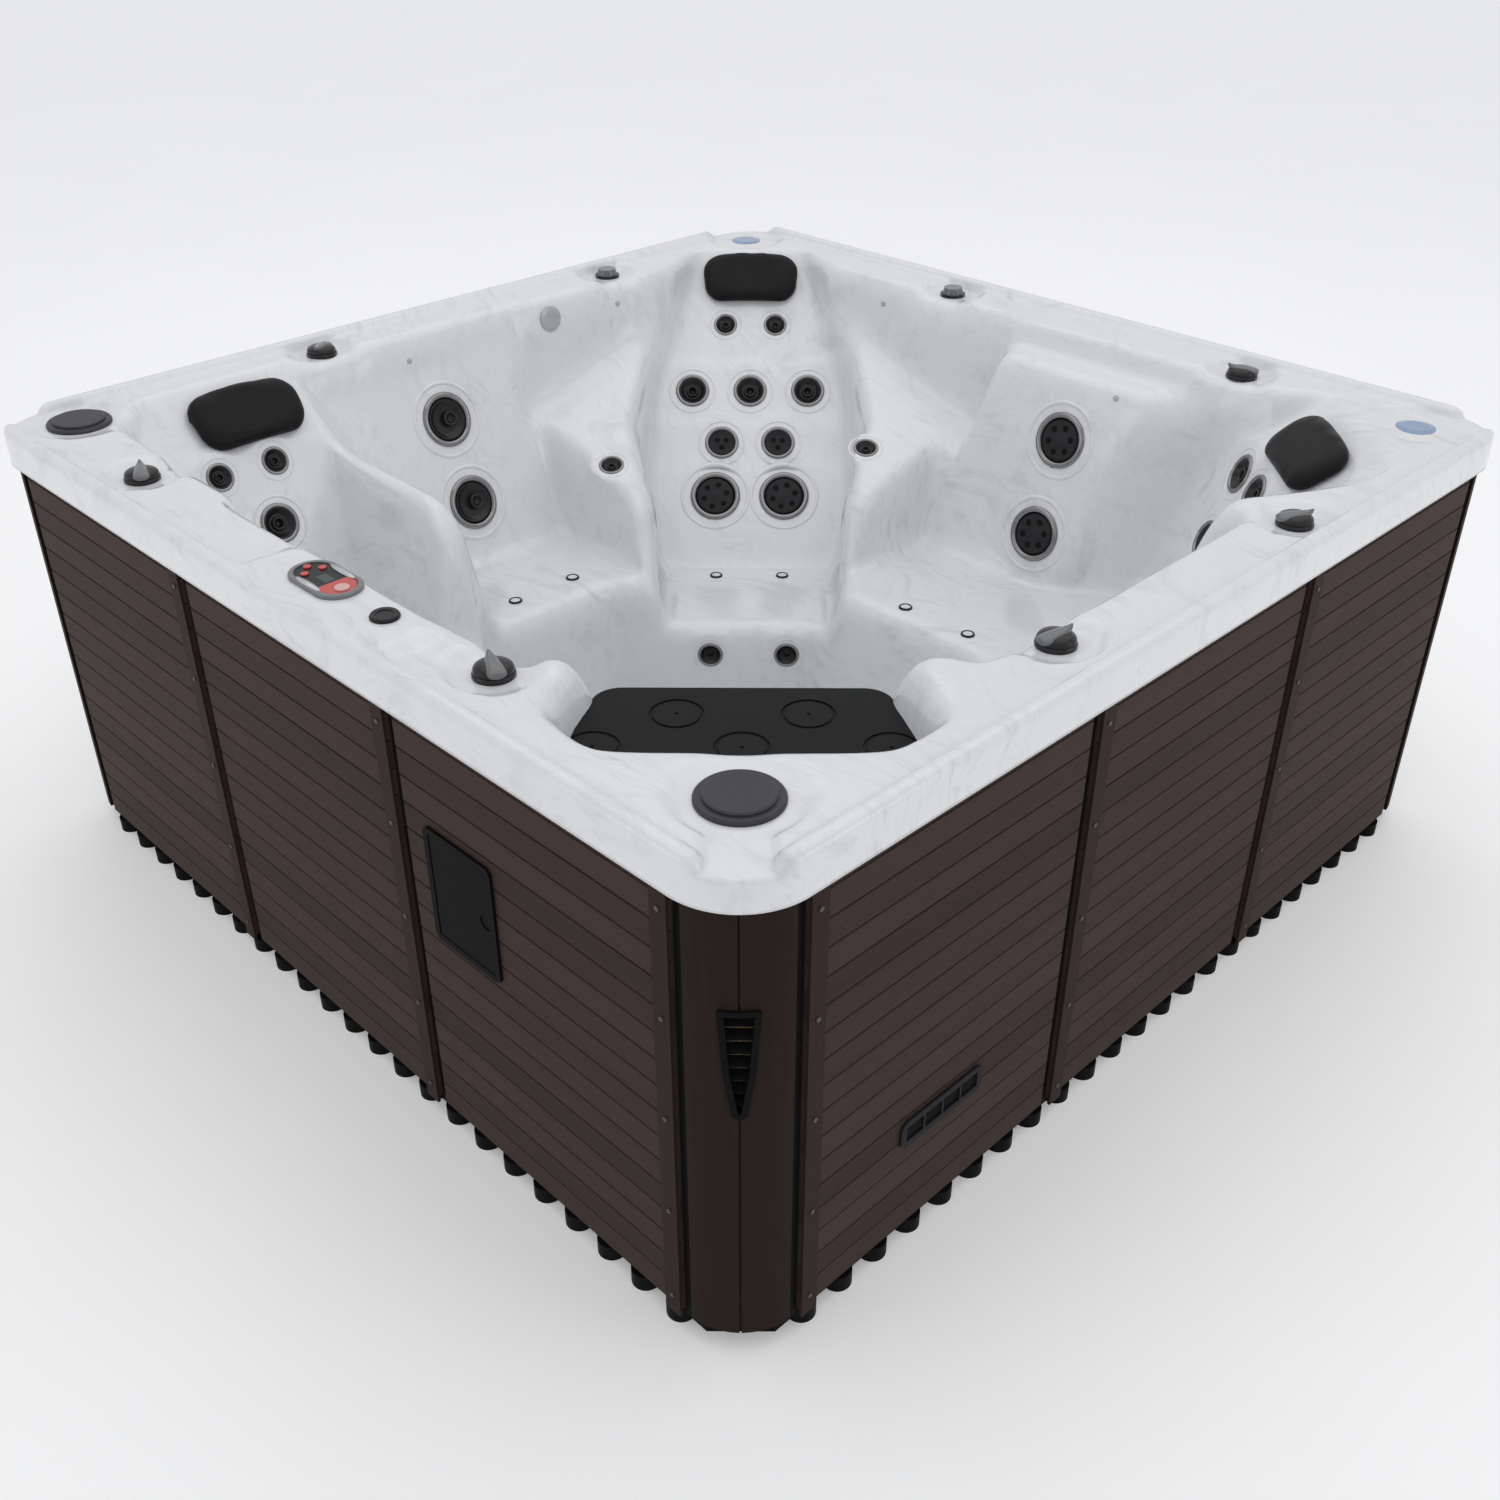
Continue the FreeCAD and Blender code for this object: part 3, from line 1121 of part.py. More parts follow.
# Service locker in the front: a box with a framed mouth, and its door on two pins.
def locker_box_body():
    body = DOC.addObject("PartDesign::Body", "locker_box_body")
    left, right, foot, head = LOCKER_HOLE
    back = "cabinet_half + locker_proud - locker_depth"
    outer = polygon(sketch_on(body, "XZ_Plane", "locker_outline", back),
                    [(left + " + fit_gap", foot + " + fit_gap"), (right + " - fit_gap", foot + " + fit_gap"),
                     (right + " - fit_gap", head + " - fit_gap"), (left + " + fit_gap", head + " - fit_gap")])
    outer_pad = pad(body, outer, "locker_block", "locker_depth")
    rounded_edges(body, outer_pad, "locker_corners", "locker_radius - fit_gap",
                  lambda start, end: abs(start.y - end.y) > GAP)
    mouth = polygon(sketch_on(body, "XZ_Plane", "locker_mouth_outline", "cabinet_half + locker_proud"),
                    [(left + " + locker_frame", foot + " + locker_frame"),
                     (right + " - locker_frame", foot + " + locker_frame"),
                     (right + " - locker_frame", head + " - locker_frame"),
                     (left + " + locker_frame", head + " - locker_frame")])
    pocket(body, mouth, "locker_mouth", "locker_depth - locker_wall")
    room = polygon(sketch_on(body, "XZ_Plane", "locker_room_outline", "cabinet_half - locker_proud"),
                   [(left + " + 2 * locker_wall", foot + " + 2 * locker_wall"),
                    (right + " - 2 * locker_wall", foot + " + 2 * locker_wall"),
                    (right + " - 2 * locker_wall", head + " - 2 * locker_wall"),
                    (left + " + 2 * locker_wall", head + " - 2 * locker_wall")])
    pocket(body, room, "locker_room", "locker_depth - 2 * locker_proud - locker_wall")
    pin_foot = foot + " + locker_frame - locker_ear - fit_gap"
    pin = circle(sketch_on(body, "XY_Plane", "locker_pin_outline", pin_foot),
                 PIN_X, PIN_Y, "locker_pin_radius + pin_gap")
    body.Tip = pocket(body, pin, "locker_pin_bore",
                      "locker_tall - 2 * locker_frame + 2 * locker_ear + 2 * fit_gap", True)
    return body


PIN_X = "locker_center - 0.5 * locker_width + locker_frame + 0.5 * locker_door_thick + fit_gap"
PIN_Y = "- cabinet_half - locker_proud + 0.5 * locker_door_thick + locker_door_set"
keep("locker_box", locker_box_body())

DOOR_FOOT = "locker_height - 0.5 * locker_tall + locker_frame + fit_gap"
door_plate = block("door_plate", (PIN_X, PIN_Y + " - 0.5 * locker_door_thick", DOOR_FOOT),
                   ("locker_center + 0.5 * locker_width - locker_frame - fit_gap",
                    PIN_Y + " + 0.5 * locker_door_thick",
                    "locker_height + 0.5 * locker_tall - locker_frame - fit_gap"))
door_barrel = rod("door_barrel", "0.5 * locker_door_thick", (PIN_X, PIN_Y, DOOR_FOOT),
                  "locker_tall - 2 * locker_frame - 2 * fit_gap")
door_pin = rod("door_pin", "locker_pin_radius", (PIN_X, PIN_Y, DOOR_FOOT + " - locker_ear"),
               "locker_tall - 2 * locker_frame - 2 * fit_gap + 2 * locker_ear")
door_body = joined("door_body", [door_plate, door_barrel, door_pin])
finger_dip = rod("finger_dip", "locker_radius",
                 ("locker_center + 0.5 * locker_width - 2 * locker_frame",
                  PIN_Y + " - 0.5 * locker_door_thick", "locker_height"),
                 "0.3 * locker_door_thick", Vector(0, 1, 0))
keep("locker_door", cut("locker_door_cut", door_body, [finger_dip]))


# Filter: lid, cartridges, and the mouth with its swinging flap.
def in_corner(points):
    """Points of (distance, across) in the filter corner's own axes."""
    along, side = direction(FRONT_RIGHT)
    return [along * a + side * b for a, b in points]


def lid_shape():
    low = LID_UNDER + GAP
    plate = slab(lid_outline(), low, low + size("lid_thickness"))
    plate = plate.common(rim_solid(-size("lid_gap")))
    ring = size("lid_dimple")
    depth = size("lid_dimple_depth")
    dot = size("lid_dot")
    top = low + size("lid_thickness")
    line = size("lid_back") + (size("lid_front") - size("lid_back")) * 0.28
    front = size("lid_back") + (size("lid_front") - size("lid_back")) * 0.62
    apart = size("lid_back_half") * 0.45
    cuts = []
    for spot in in_corner([(line, -apart), (line, apart), (front, 0),
                           (front, -2.2 * apart), (front, 2.2 * apart)]):
        center = Vector(spot.x, spot.y, top - depth)
        cuts.append(Part.makeCylinder(ring, 2 * depth, center).cut(
            Part.makeCylinder(ring - 2 * dot, 2 * depth, center)))
        cuts.append(Part.makeCylinder(dot, 2 * depth, center))
    return plate.cut(cuts)


keep("filter_lid", feature("filter_lid", lid_shape()))
cartridge = lathe("cartridge", [
    ("0", "0"), ("cartridge_radius", "0"), ("cartridge_radius", "cartridge_cap"),
    ("cartridge_radius - 2 * throat_wall", "cartridge_cap"),
    ("cartridge_radius - 2 * throat_wall", "cartridge_height - cartridge_cap"),
    ("cartridge_radius", "cartridge_height - cartridge_cap"), ("cartridge_radius", "cartridge_height"),
    ("0.5 * cartridge_radius", "cartridge_height"),
    ("0.4 * cartridge_radius", "cartridge_height - cartridge_cap"),
    ("0", "cartridge_height - cartridge_cap")])
half_pitch = size("cartridge_pitch") / 2
keep("filter_cartridges", group("filter_cartridges_set", [
    copied(cartridge, Placement(spot + Vector(0, 0, size("filter_floor")), Rotation()))
    for spot in in_corner([(size("cartridge_line"), -half_pitch), (size("cartridge_line"), half_pitch)])]))

WEIR_TURN = Placement(Vector(), Rotation(UP, FRONT_RIGHT))
FLAP_PIN_X = "throat_line + 0.5 * throat_reach"
FLAP_PIN_Z = "throat_bottom + fit_gap + throat_wall + weir_pin + fit_gap"
weir_tube = block("weir_tube",
                  ("throat_line - throat_reach", "- throat_half + fit_gap", "throat_bottom + fit_gap"),
                  ("throat_line + throat_reach", "throat_half - fit_gap", "throat_top - fit_gap"))
weir_flange = block("weir_flange",
                    ("throat_line - throat_reach - throat_wall", "- throat_half - throat_frame",
                     "throat_bottom - throat_frame"),
                    ("throat_line - throat_reach", "throat_half + throat_frame",
                     "throat_top + throat_frame"))
weir_room = block("weir_room",
                  ("throat_line - 2 * throat_reach", "- throat_half + fit_gap + throat_wall",
                   "throat_bottom + fit_gap + throat_wall"),
                  ("throat_line + 2 * throat_reach", "throat_half - fit_gap - throat_wall",
                   "throat_top - fit_gap - throat_wall"))
weir_bore = rod("weir_bore", "weir_pin - weir_thick / 4 + pin_gap",
                (FLAP_PIN_X, "- throat_half + 2 * fit_gap", FLAP_PIN_Z),
                "2 * throat_half - 4 * fit_gap", Vector(0, 1, 0))
weir = cut("weir", joined("weir_solid", [weir_tube, weir_flange]), [weir_room, weir_bore])
keep("weir_frame", group("weir_frame_set", [copied(weir, WEIR_TURN)]))
FLAP_SIDE = "- throat_half + 3 * fit_gap + throat_wall"
flap_plate = block("flap_plate", (FLAP_PIN_X + " - weir_thick / 2", FLAP_SIDE, FLAP_PIN_Z),
                   (FLAP_PIN_X + " + weir_thick / 2", "throat_half - 3 * fit_gap - throat_wall",
                    "throat_top - throat_wall - 3 * fit_gap"))
flap_barrel = rod("flap_barrel", "weir_pin", (FLAP_PIN_X, FLAP_SIDE, FLAP_PIN_Z),
                  "2 * throat_half - 6 * fit_gap - 2 * throat_wall", Vector(0, 1, 0))
flap_pin = rod("flap_pin", "weir_pin - weir_thick / 4",
               (FLAP_PIN_X, "- throat_half + 3 * fit_gap", FLAP_PIN_Z),
               "2 * throat_half - 6 * fit_gap", Vector(0, 1, 0))
flap = joined("flap", [flap_plate, flap_barrel, flap_pin])
keep("weir_flap", group("weir_flap_set", [copied(flap, WEIR_TURN)]))

# Pumps under the front seat: motor on its foot, wet end with its ports.
ALONG_X = Rotation(UP, Vector(1, 0, 0))
motor_case = lathe("motor_case", [
    ("0", "0"), ("0.8 * motor_radius", "0"), ("motor_radius", "0.1 * motor_length"),
    ("motor_radius", "0.8 * motor_length"), ("0.9 * motor_radius", "0.82 * motor_length"),
    ("0.9 * motor_radius", "motor_length"), ("0", "motor_length")])
motor_foot = block("motor_foot",
                   ("- motor_radius - pump_foot", "- 0.7 * motor_radius", "0.2 * motor_length"),
                   ("- 0.9 * motor_radius", "0.7 * motor_radius", "0.7 * motor_length"))
motor = joined("motor", [motor_case, motor_foot])
wet_case = lathe("wet_case", [
    ("0", "0"), ("wet_end_radius", "0"), ("wet_end_radius", "0.6 * wet_end_length"),
    ("union_radius", "0.75 * wet_end_length"), ("union_radius", "wet_end_length"),
    ("0", "wet_end_length")])
wet_port = rod("wet_port", "pipe_radius", ("0", "0", "0.35 * wet_end_length"),
               "wet_end_radius + 0.5 * union_length", Vector(1, 0, 0))
wet_end = joined("wet_end", [wet_case, wet_port])
AXIS_HEIGHT = size("tray_floor") + size("pump_foot") + size("motor_radius")


def pump_place(x, heading):
    """Local Z runs along the shaft, local X straight up."""
    turn = Rotation(Vector(0, 0, 1), Vector(0, -heading, 0), Vector(heading, 0, 0), "ZXY")
    return Placement(Vector(x, size("pump_line"), AXIS_HEIGHT), turn)


pump_starts = ((size("pump_one") - size("motor_length"), 1),
               (size("pump_two") + size("motor_length"), -1))
keep("pump_motors", group("pump_motors_set",
                          [copied(motor, pump_place(x, way)) for x, way in pump_starts]))
keep("pump_wet_ends", group("pump_wet_ends_set", [
    copied(wet_end, pump_place(size("pump_one"), 1)), copied(wet_end, pump_place(size("pump_two"), -1))]))


def pipe_run(points, radius, bend):
    """Round pipe along straight runs joined by bends."""
    edges = []
    start = points[0]
    for index in range(1, len(points) - 1):
        corner = points[index]
        back = (points[index - 1] - corner).normalize()
        ahead = (points[index + 1] - corner).normalize()
        half = back.getAngle(ahead) / 2
        cutback = bend / math.tan(half)
        middle = (back + ahead).normalize()
        first, last = corner + back * cutback, corner + ahead * cutback
        apex = corner + middle * (bend / math.sin(half) - bend)
        edges.append(Part.makeLine(start, first))
        edges.append(Part.Arc(first, apex, last).toShape())
        start = last
    edges.append(Part.makeLine(start, points[-1]))
    path = Part.Wire(edges)
    ring = Part.Wire(Part.makeCircle(radius, points[0], points[1] - points[0]))
    return path.makePipeShell([ring], True, True)


def pipe_shapes():
    line = size("pump_line")
    radius = size("pipe_radius")
    bend = 1.3 * radius
    top = AXIS_HEIGHT + size("wet_end_radius") + size("union_length") / 2
    one, two = size("pump_one"), size("pump_two")
    wet = size("wet_end_length")
    port_one, port_two = one + 0.35 * wet, two - 0.35 * wet
    heater_z = size("heater_height")
    heater_x = size("heater_start")
    runs = [[Vector(port_one, line, top), Vector(port_one, line, heater_z),
             Vector(heater_x, line, heater_z)],
            [Vector(port_two, line, top), Vector(port_two, line, top + 1.6 * bend),
             Vector(port_two, line - 4 * bend, top + 1.6 * bend)]]
    for start, spot in zip((one + wet, two - wet), SPOTS["suction"]):
        back = spot.Rotation.multVec(UP) * -size("suction_depth")
        wall = spot.Base + back
        level = Vector(wall.x, line, AXIS_HEIGHT)
        runs.append([Vector(start, line, AXIS_HEIGHT), level, wall + back * 2, wall])
    end_x = heater_x + size("heater_length")
    runs.append([Vector(end_x, line, heater_z), Vector(end_x + 2.4 * bend, line, heater_z),
                 Vector(end_x + 2.4 * bend, line + 3 * bend, heater_z)])
    return [pipe_run(run, radius, bend) for run in runs]


keep("pipes", feature("pipes", Part.makeCompound(pipe_shapes())))
heater = lathe("heater_body", [
    ("0", "0"), ("heater_radius", "0"), ("heater_radius", "union_length"),
    ("pipe_radius + throat_wall", "union_length"),
    ("pipe_radius + throat_wall", "heater_length - union_length"),
    ("heater_radius", "heater_length - union_length"), ("heater_radius", "heater_length"),
    ("0", "heater_length")])
keep("heater", group("heater_set", [copied(heater, Placement(
    Vector(size("heater_start"), size("pump_line"), size("heater_height")), ALONG_X))]))


def box_body():
    body = DOC.addObject("PartDesign::Body", "control_box_body")
    plan = polygon(sketch_on(body, "XY_Plane", "box_plan", "tray_floor"),
                   [("box_start", "box_back - box_depth"), ("box_start + box_length", "box_back - box_depth"),
                    ("box_start + box_length", "box_back"), ("box_start", "box_back")])
    solid = pad(body, plan, "box_pad", "box_tall")
    rounded_edges(body, solid, "box_corners", "locker_radius",
                  lambda start, end: abs(start.z - end.z) > GAP)
    return body


keep("control_box", box_body())


# Control panel on the raised deck: bezel, face plate and four keys.
def oval(inset, low, high):
    """Long round-ended slab of the panel's outline, drawn in by inset."""
    x, y = size("topside_x"), size("topside_y")
    reach = size("topside_length") / 2 - inset
    radius = size("topside_width") / 2 - inset
    bend = 0.98 * radius
    return slab([(x - reach, y - radius, bend), (x + reach, y - radius, bend),
                 (x + reach, y + radius, bend), (x - reach, y + radius, bend)], low, high)


def topside_bezel_shape():
    """Oval bezel with a sunk field, its body reaching down through the deck."""
    x, y = size("topside_x"), size("topside_y")
    length, width = size("topside_length"), size("topside_width")
    height = size("topside_height")
    border = size("topside_border")
    rim = oval(0, TOP, TOP + height)
    edges = [edge for edge in rim.Edges if edge.BoundBox.ZMin > TOP + height - GAP]
    rim = rim.makeFillet(0.45 * height, edges)
    inner = length - 2 * border - 2 * GAP
    narrow = width - 2 * border - 2 * GAP
    deep = size("topside_body_depth")
    body = Part.makeBox(inner - narrow, narrow, deep,
                        Vector(x - (inner - narrow) / 2, y - narrow / 2, TOP - deep))
    return rim.fuse(body).cut(oval(border, TOP + height - size("topside_recess"), ABOVE))


# Keys: x as a share of the panel's length, y of its width, and the key's radius.
KEYS = {
    "key_menu": (-0.36, 0.0, "key_radius"), "key_warm": (-0.23, 0.2, "key_radius"),
    "key_cool": (-0.23, -0.2, "key_radius"), "key_jets": (0.32, 0.0, "big_key_radius"),
}
FACE_FLOOR = "tub_height + topside_height - topside_recess"


def key_spot(name):
    """Formulas of a key's centre in plan."""
    a, b, radius = KEYS[name]
    return "topside_x + %g * topside_length" % a, "topside_y + %g * topside_width" % b


def topside_face_shape():
    """Face plate with a hole for each key."""
    low = amount(FACE_FLOOR)
    plate = oval(size("topside_border") + GAP, low, low + size("topside_face"))
    holes = []
    for name, (a, b, radius) in KEYS.items():
        x, y = [amount(text) for text in key_spot(name)]
        holes.append(Part.makeCylinder(size(radius) + size("key_hole_gap"), WALL,
                                       Vector(x, y, low - WALL / 2)))
    return plate.cut(holes)


keep("topside_bezel", feature("topside_bezel", topside_bezel_shape()))
keep("topside_face", feature("topside_face", topside_face_shape()))
for name, (a, b, radius) in KEYS.items():
    keep(name, rod(name + "_button", radius, key_spot(name) + (FACE_FLOOR + " + key_rest",), "key_height"))
keypad = lathe("keypad", [
    ("0", "- topside_body_depth"), ("0.5 * keypad_radius - fit_gap", "- topside_body_depth"),
    ("0.5 * keypad_radius - fit_gap", "0"), ("keypad_radius", "0"),
    ("keypad_radius", "0.5 * keypad_height"), ("0.9 * keypad_radius", "keypad_height"),
    ("0.6 * keypad_radius", "keypad_height"), ("0.55 * keypad_radius", "0.7 * keypad_height"),
    ("0", "0.7 * keypad_height")])
keep("aux_keypad", group("aux_keypad_set", [copied(keypad, Placement(
    Vector(size("keypad_x"), size("keypad_y"), TOP), Rotation()))]))

# Diverter valves: fixed bases in the deck's dishes, a finned handle on each.
valve = lathe("valve", [
    ("0", "- valve_stem_length"), ("valve_stem_radius", "- valve_stem_length"), ("valve_stem_radius", "0"),
    ("valve_base_radius", "0"), ("valve_base_radius", "0.6 * valve_base_height"),
    ("0.93 * valve_base_radius", "valve_base_height"), ("handle_pin + pin_gap", "valve_base_height"),
    ("handle_pin + pin_gap", "valve_base_height - handle_pin_length - fit_gap"),
    ("0", "valve_base_height - handle_pin_length - fit_gap")])
knob_valve = lathe("knob_valve", [
    ("0", "- valve_stem_length"), ("knob_stem_radius", "- valve_stem_length"), ("knob_stem_radius", "0"),
    ("knob_base_radius", "0"), ("knob_base_radius", "knob_base_height"),
    ("handle_pin + pin_gap", "knob_base_height"),
    ("handle_pin + pin_gap", "knob_base_height - handle_pin_length - fit_gap"),
    ("0", "knob_base_height - handle_pin_length - fit_gap")])


def deck_spot(shares, lift=0.0):
    x, y = place(shares)
    return Vector(x, y, VALVE_FLOOR + lift)


keep("valve_bases", group("valve_bases_set", [
    copied(source, Placement(deck_spot(shares), Rotation()))
    for source, table in ((valve, LEVER_SHARES), (knob_valve, KNOB_SHARES))
    for shares in table.values()]))
hub = lathe("hub", [
    ("0", "- handle_pin_length"), ("handle_pin", "- handle_pin_length"), ("handle_pin", "0"),
    ("handle_radius", "0"), ("handle_radius", "0.4 * handle_height"),
    ("0.85 * handle_radius", "0.85 * handle_height"),
    ("0.5 * handle_radius", "handle_height"), ("0", "handle_height")])


def fin_shape():
    """Upswept fin across the hub: one side profile with rounded corners."""
    radius = size("handle_radius")
    reach = size("handle_reach")
    horn = size("handle_horn")
    thick = size("handle_thick")
    profile = [(-0.8 * radius, 0.05 * horn, 0.1 * horn), (0.8 * radius, 0.05 * horn, 0.1 * horn),
               (reach, 0.5 * horn, 0.1 * horn), (0.9 * reach, horn, 0.1 * horn),
               (0.2 * radius, 0.72 * horn, 0.2 * horn), (-0.85 * radius, 0.3 * horn, 0.08 * horn)]
    blank = profile_solid(profile, 0.0, thick / 2)
    edges = [edge for edge in blank.Edges if edge.BoundBox.YLength < GAP]
    return blank.makeFillet(0.25 * thick, edges)


handle = joined("handle", [hub, feature("fin", fin_shape())])
LEVER_TURNS = {"front_right": 160.0, "right_front": 75.0, "left_front": -60.0, "rear_right": -160.0,
               "front_left": 150.0, "right_rear": 60.0}
for corner, shares in LEVER_SHARES.items():
    spot = Placement(deck_spot(shares, size("valve_base_height") + GAP), Rotation(UP, LEVER_TURNS[corner]))
    keep("lever_" + corner, group("lever_%s_set" % corner, [copied(handle, spot)]))


def knob_shape():
    """Round knob with a ring of shallow grips in its side."""
    radius = size("knob_radius")
    height = size("knob_height")
    pin = size("handle_pin")
    grip = size("knob_grip")
    body = Part.makeCone(radius, 0.86 * radius, height).fuse(
        Part.makeCylinder(pin, size("handle_pin_length"), Vector(0, 0, -size("handle_pin_length"))))
    grips = []
    count = int(size("knob_grips"))
    for index in range(count):
        flute = Part.makeCylinder(grip, height, Vector(radius + 0.3 * grip, 0, 0.2 * height))
        flute.rotate(Vector(), UP, index * 360.0 / count)
        grips.append(flute)
    return body.cut(grips)


knob = feature("knob", knob_shape())
for corner, shares in KNOB_SHARES.items():
    spot = Placement(deck_spot(shares, size("knob_base_height") + GAP), Rotation())
    keep("knob_" + corner, group("knob_%s_set" % corner, [copied(knob, spot)]))

# Pop-up columns in the front corners with their sleeves, plain caps in the rear corners.
speaker = lathe("speaker", [
    ("0", "- speaker_length"), ("speaker_radius", "- speaker_length"), ("speaker_radius", "0"),
    ("cap_radius", "0"), ("cap_radius", "0.6 * cap_step"), ("0.96 * cap_radius", "cap_step"),
    ("cap_step_radius", "cap_step"), ("cap_step_radius", "0.85 * cap_thick"),
    ("0.95 * cap_step_radius", "cap_thick"), ("0", "cap_thick")])
sleeve = lathe("sleeve", [
    ("speaker_radius + fit_gap", "- speaker_length + sleeve_wall"),
    ("speaker_radius + fit_gap + sleeve_wall", "- speaker_length + sleeve_wall"),
    ("speaker_radius + fit_gap + sleeve_wall", "0"), ("speaker_radius + fit_gap", "0")])


def cap_spot(corner, lift=0.0):
    x, y = place(CORNER_SHARES[corner])
    return Placement(Vector(x, y, CAP_FLOOR + lift), Rotation())


keep("speaker_near", group("speaker_near_set", [copied(speaker, cap_spot("front_right", GAP))]))
keep("speaker_left", group("speaker_left_set", [copied(speaker, cap_spot("front_left", GAP))]))
keep("speaker_sleeves", group("speaker_sleeves_set", [copied(sleeve, cap_spot("front_right")),
                                                      copied(sleeve, cap_spot("front_left"))]))
lamp = lathe("lamp", [
    ("0", "0"), ("light_radius", "0"), ("light_radius", "0.4 * light_thick"),
    ("0.7 * light_radius", "light_thick"), ("0", "light_thick")])
keep("corner_lights", group("corner_lights_set", [copied(lamp, cap_spot("rear_left")),
                                                  copied(lamp, cap_spot("rear_right"))]))

# Jets: body with its flange; the large ones carry a turning face on a hub.
large_jet = lathe("large_jet", [
    ("0", "- jet_large_length"), ("jet_large_barrel", "- jet_large_length"), ("jet_large_barrel", "0"),
    ("jet_large", "0"), ("jet_large", "0.3 * flange_thick"), ("jet_face + 2 * face_gap", "flange_thick"),
    ("jet_face + face_gap", "0.9 * flange_thick"), ("jet_face + face_gap", "0.2 * flange_thick"),
    ("face_hub + pin_gap", "0.2 * flange_thick"),
    ("face_hub + pin_gap", "0.2 * flange_thick - face_hub_length - fit_gap"),
    ("0", "0.2 * flange_thick - face_hub_length - fit_gap")])
medium_jet = lathe("medium_jet", [
    ("0", "- jet_medium_length"), ("jet_medium_barrel", "- jet_medium_length"), ("jet_medium_barrel", "0"),
    ("jet_medium", "0"), ("jet_medium", "0.3 * flange_thick"), ("0.8 * jet_medium", "flange_thick"),
    ("0.72 * jet_medium", "0.8 * flange_thick"), ("0.66 * jet_medium", "0.2 * flange_thick"),
    ("0.3 * jet_medium", "0.5 * flange_thick"), ("0.2 * jet_medium", "- flange_thick"),
    ("0", "- flange_thick")])
small_jet = lathe("small_jet", [
    ("0", "- jet_small_length"), ("jet_small_barrel", "- jet_small_length"), ("jet_small_barrel", "0"),
    ("jet_small", "0"), ("jet_small", "0.3 * flange_thick"), ("0.8 * jet_small", "0.9 * flange_thick"),
    ("0.7 * jet_small", "0.6 * flange_thick"), ("0.62 * jet_small", "0.1 * flange_thick"),
    ("0.32 * jet_small", "0.4 * flange_thick"), ("0.2 * jet_small", "- flange_thick"),
    ("0", "- flange_thick")])
air_inlet = lathe("air_inlet", [
    ("0", "- air_inlet_length"), ("air_inlet_barrel", "- air_inlet_length"), ("air_inlet_barrel", "0"),
    ("air_inlet", "0"), ("air_inlet", "0.2 * flange_thick"), ("0.6 * air_inlet", "0.45 * flange_thick"),
    ("0", "0.3 * flange_thick")])


def fitted(label, source, kind):
    """One copy of a fitting at each of its places on the shell."""
    keep(label, group(label + "_set", [copied(source, spot) for spot in SPOTS[kind]]))


fitted("jets_large", large_jet, "large")
fitted("jets_medium", medium_jet, "medium")
fitted("jets_small", small_jet, "small")
fitted("air_injectors", air_inlet, "air")


def jet_face_body():
    """Turning face: disc on a hub, with a ring of dished ports."""
    body = lathe("jet_face_body", [
        ("0", "fit_gap - face_hub_length"), ("face_hub", "fit_gap - face_hub_length"),
        ("face_hub", "fit_gap"), ("jet_face", "fit_gap"), ("jet_face", "0.5 * face_thick"),
        ("0.9 * jet_face", "face_thick"), ("0.45 * jet_face", "0.8 * face_thick"),
        ("0.2 * jet_face", "1.5 * face_thick"), ("0", "1.6 * face_thick")])
    port = circle(sketch_on(body, "XY_Plane", "face_port_outline", "2 * face_thick"),
                  "face_port_ring", "0", "face_port")
    hole = pocket(body, port, "face_port_cut", "face_thick + face_port_depth")
    ring = body.newObject("PartDesign::PolarPattern", "face_ports")
    ring.Originals = [hole]
    ring.Axis = (port, ["N_Axis"])
    ring.Angle = 360.0
    bound(ring, Occurrences="face_ports")
    body.Tip = ring
    return body


jet_face = jet_face_body()
FACE_NAMES = ("jet_face_tall_left", "jet_face_tall_right", "jet_face_rear_low",
              "jet_face_rear_high", "jet_face_left_low", "jet_face_left_high")
for label, spot in zip(FACE_NAMES, SPOTS["large"]):
    lift = Placement(Vector(0, 0, 0.2 * size("flange_thick")), Rotation())
    keep(label, group(label + "_set", [copied(jet_face, spot.multiply(lift))]))

# Light in the wall, dots of light along the rim, and the intakes of the footwell.
wall_lens = lathe("wall_lens", [
    ("0", "0"), ("wall_light", "0"), ("wall_light", "0.4 * wall_light_thick"),
    ("0.7 * wall_light", "wall_light_thick"), ("0", "wall_light_thick")])
dot_lens = lathe("dot_lens", [
    ("0", "0"), ("led_radius", "0"), ("led_radius", "0.5 * led_thick"), ("0.6 * led_radius", "led_thick"),
    ("0", "led_thick")])
keep("wall_fittings", group("wall_fittings_set",
                            [copied(wall_lens, spot) for spot in SPOTS["light"]]
                            + [copied(dot_lens, spot) for spot in SPOTS["dot"]]))


def suction_body():
    """Domed intake cover with a ring of slots, its stem through the wall."""
    body = lathe("suction_body", [
        ("0", "- suction_depth"), ("pipe_radius", "- suction_depth"), ("pipe_radius", "0"),
        ("suction_radius", "0"), ("suction_radius", "0.3 * suction_thick"),
        ("0.75 * suction_radius", "suction_thick"), ("0", "suction_thick")])
    near, far = "0.2 * suction_radius", "0.65 * suction_radius"
    low, high = "- 0.06 * suction_radius", "0.06 * suction_radius"
    slot = polygon(sketch_on(body, "XY_Plane", "suction_slot", "suction_thick"),
                   [(near, low), (far, low), (far, high), (near, high)])
    hole = pocket(body, slot, "suction_slot_cut", "0.5 * suction_thick")
    ring = body.newObject("PartDesign::PolarPattern", "suction_slots")
    ring.Originals = [hole]
    ring.Axis = (slot, ["N_Axis"])
    ring.Angle = 360.0
    bound(ring, Occurrences="suction_slots")
    body.Tip = ring
    return body


fitted("suction_covers", suction_body(), "suction")

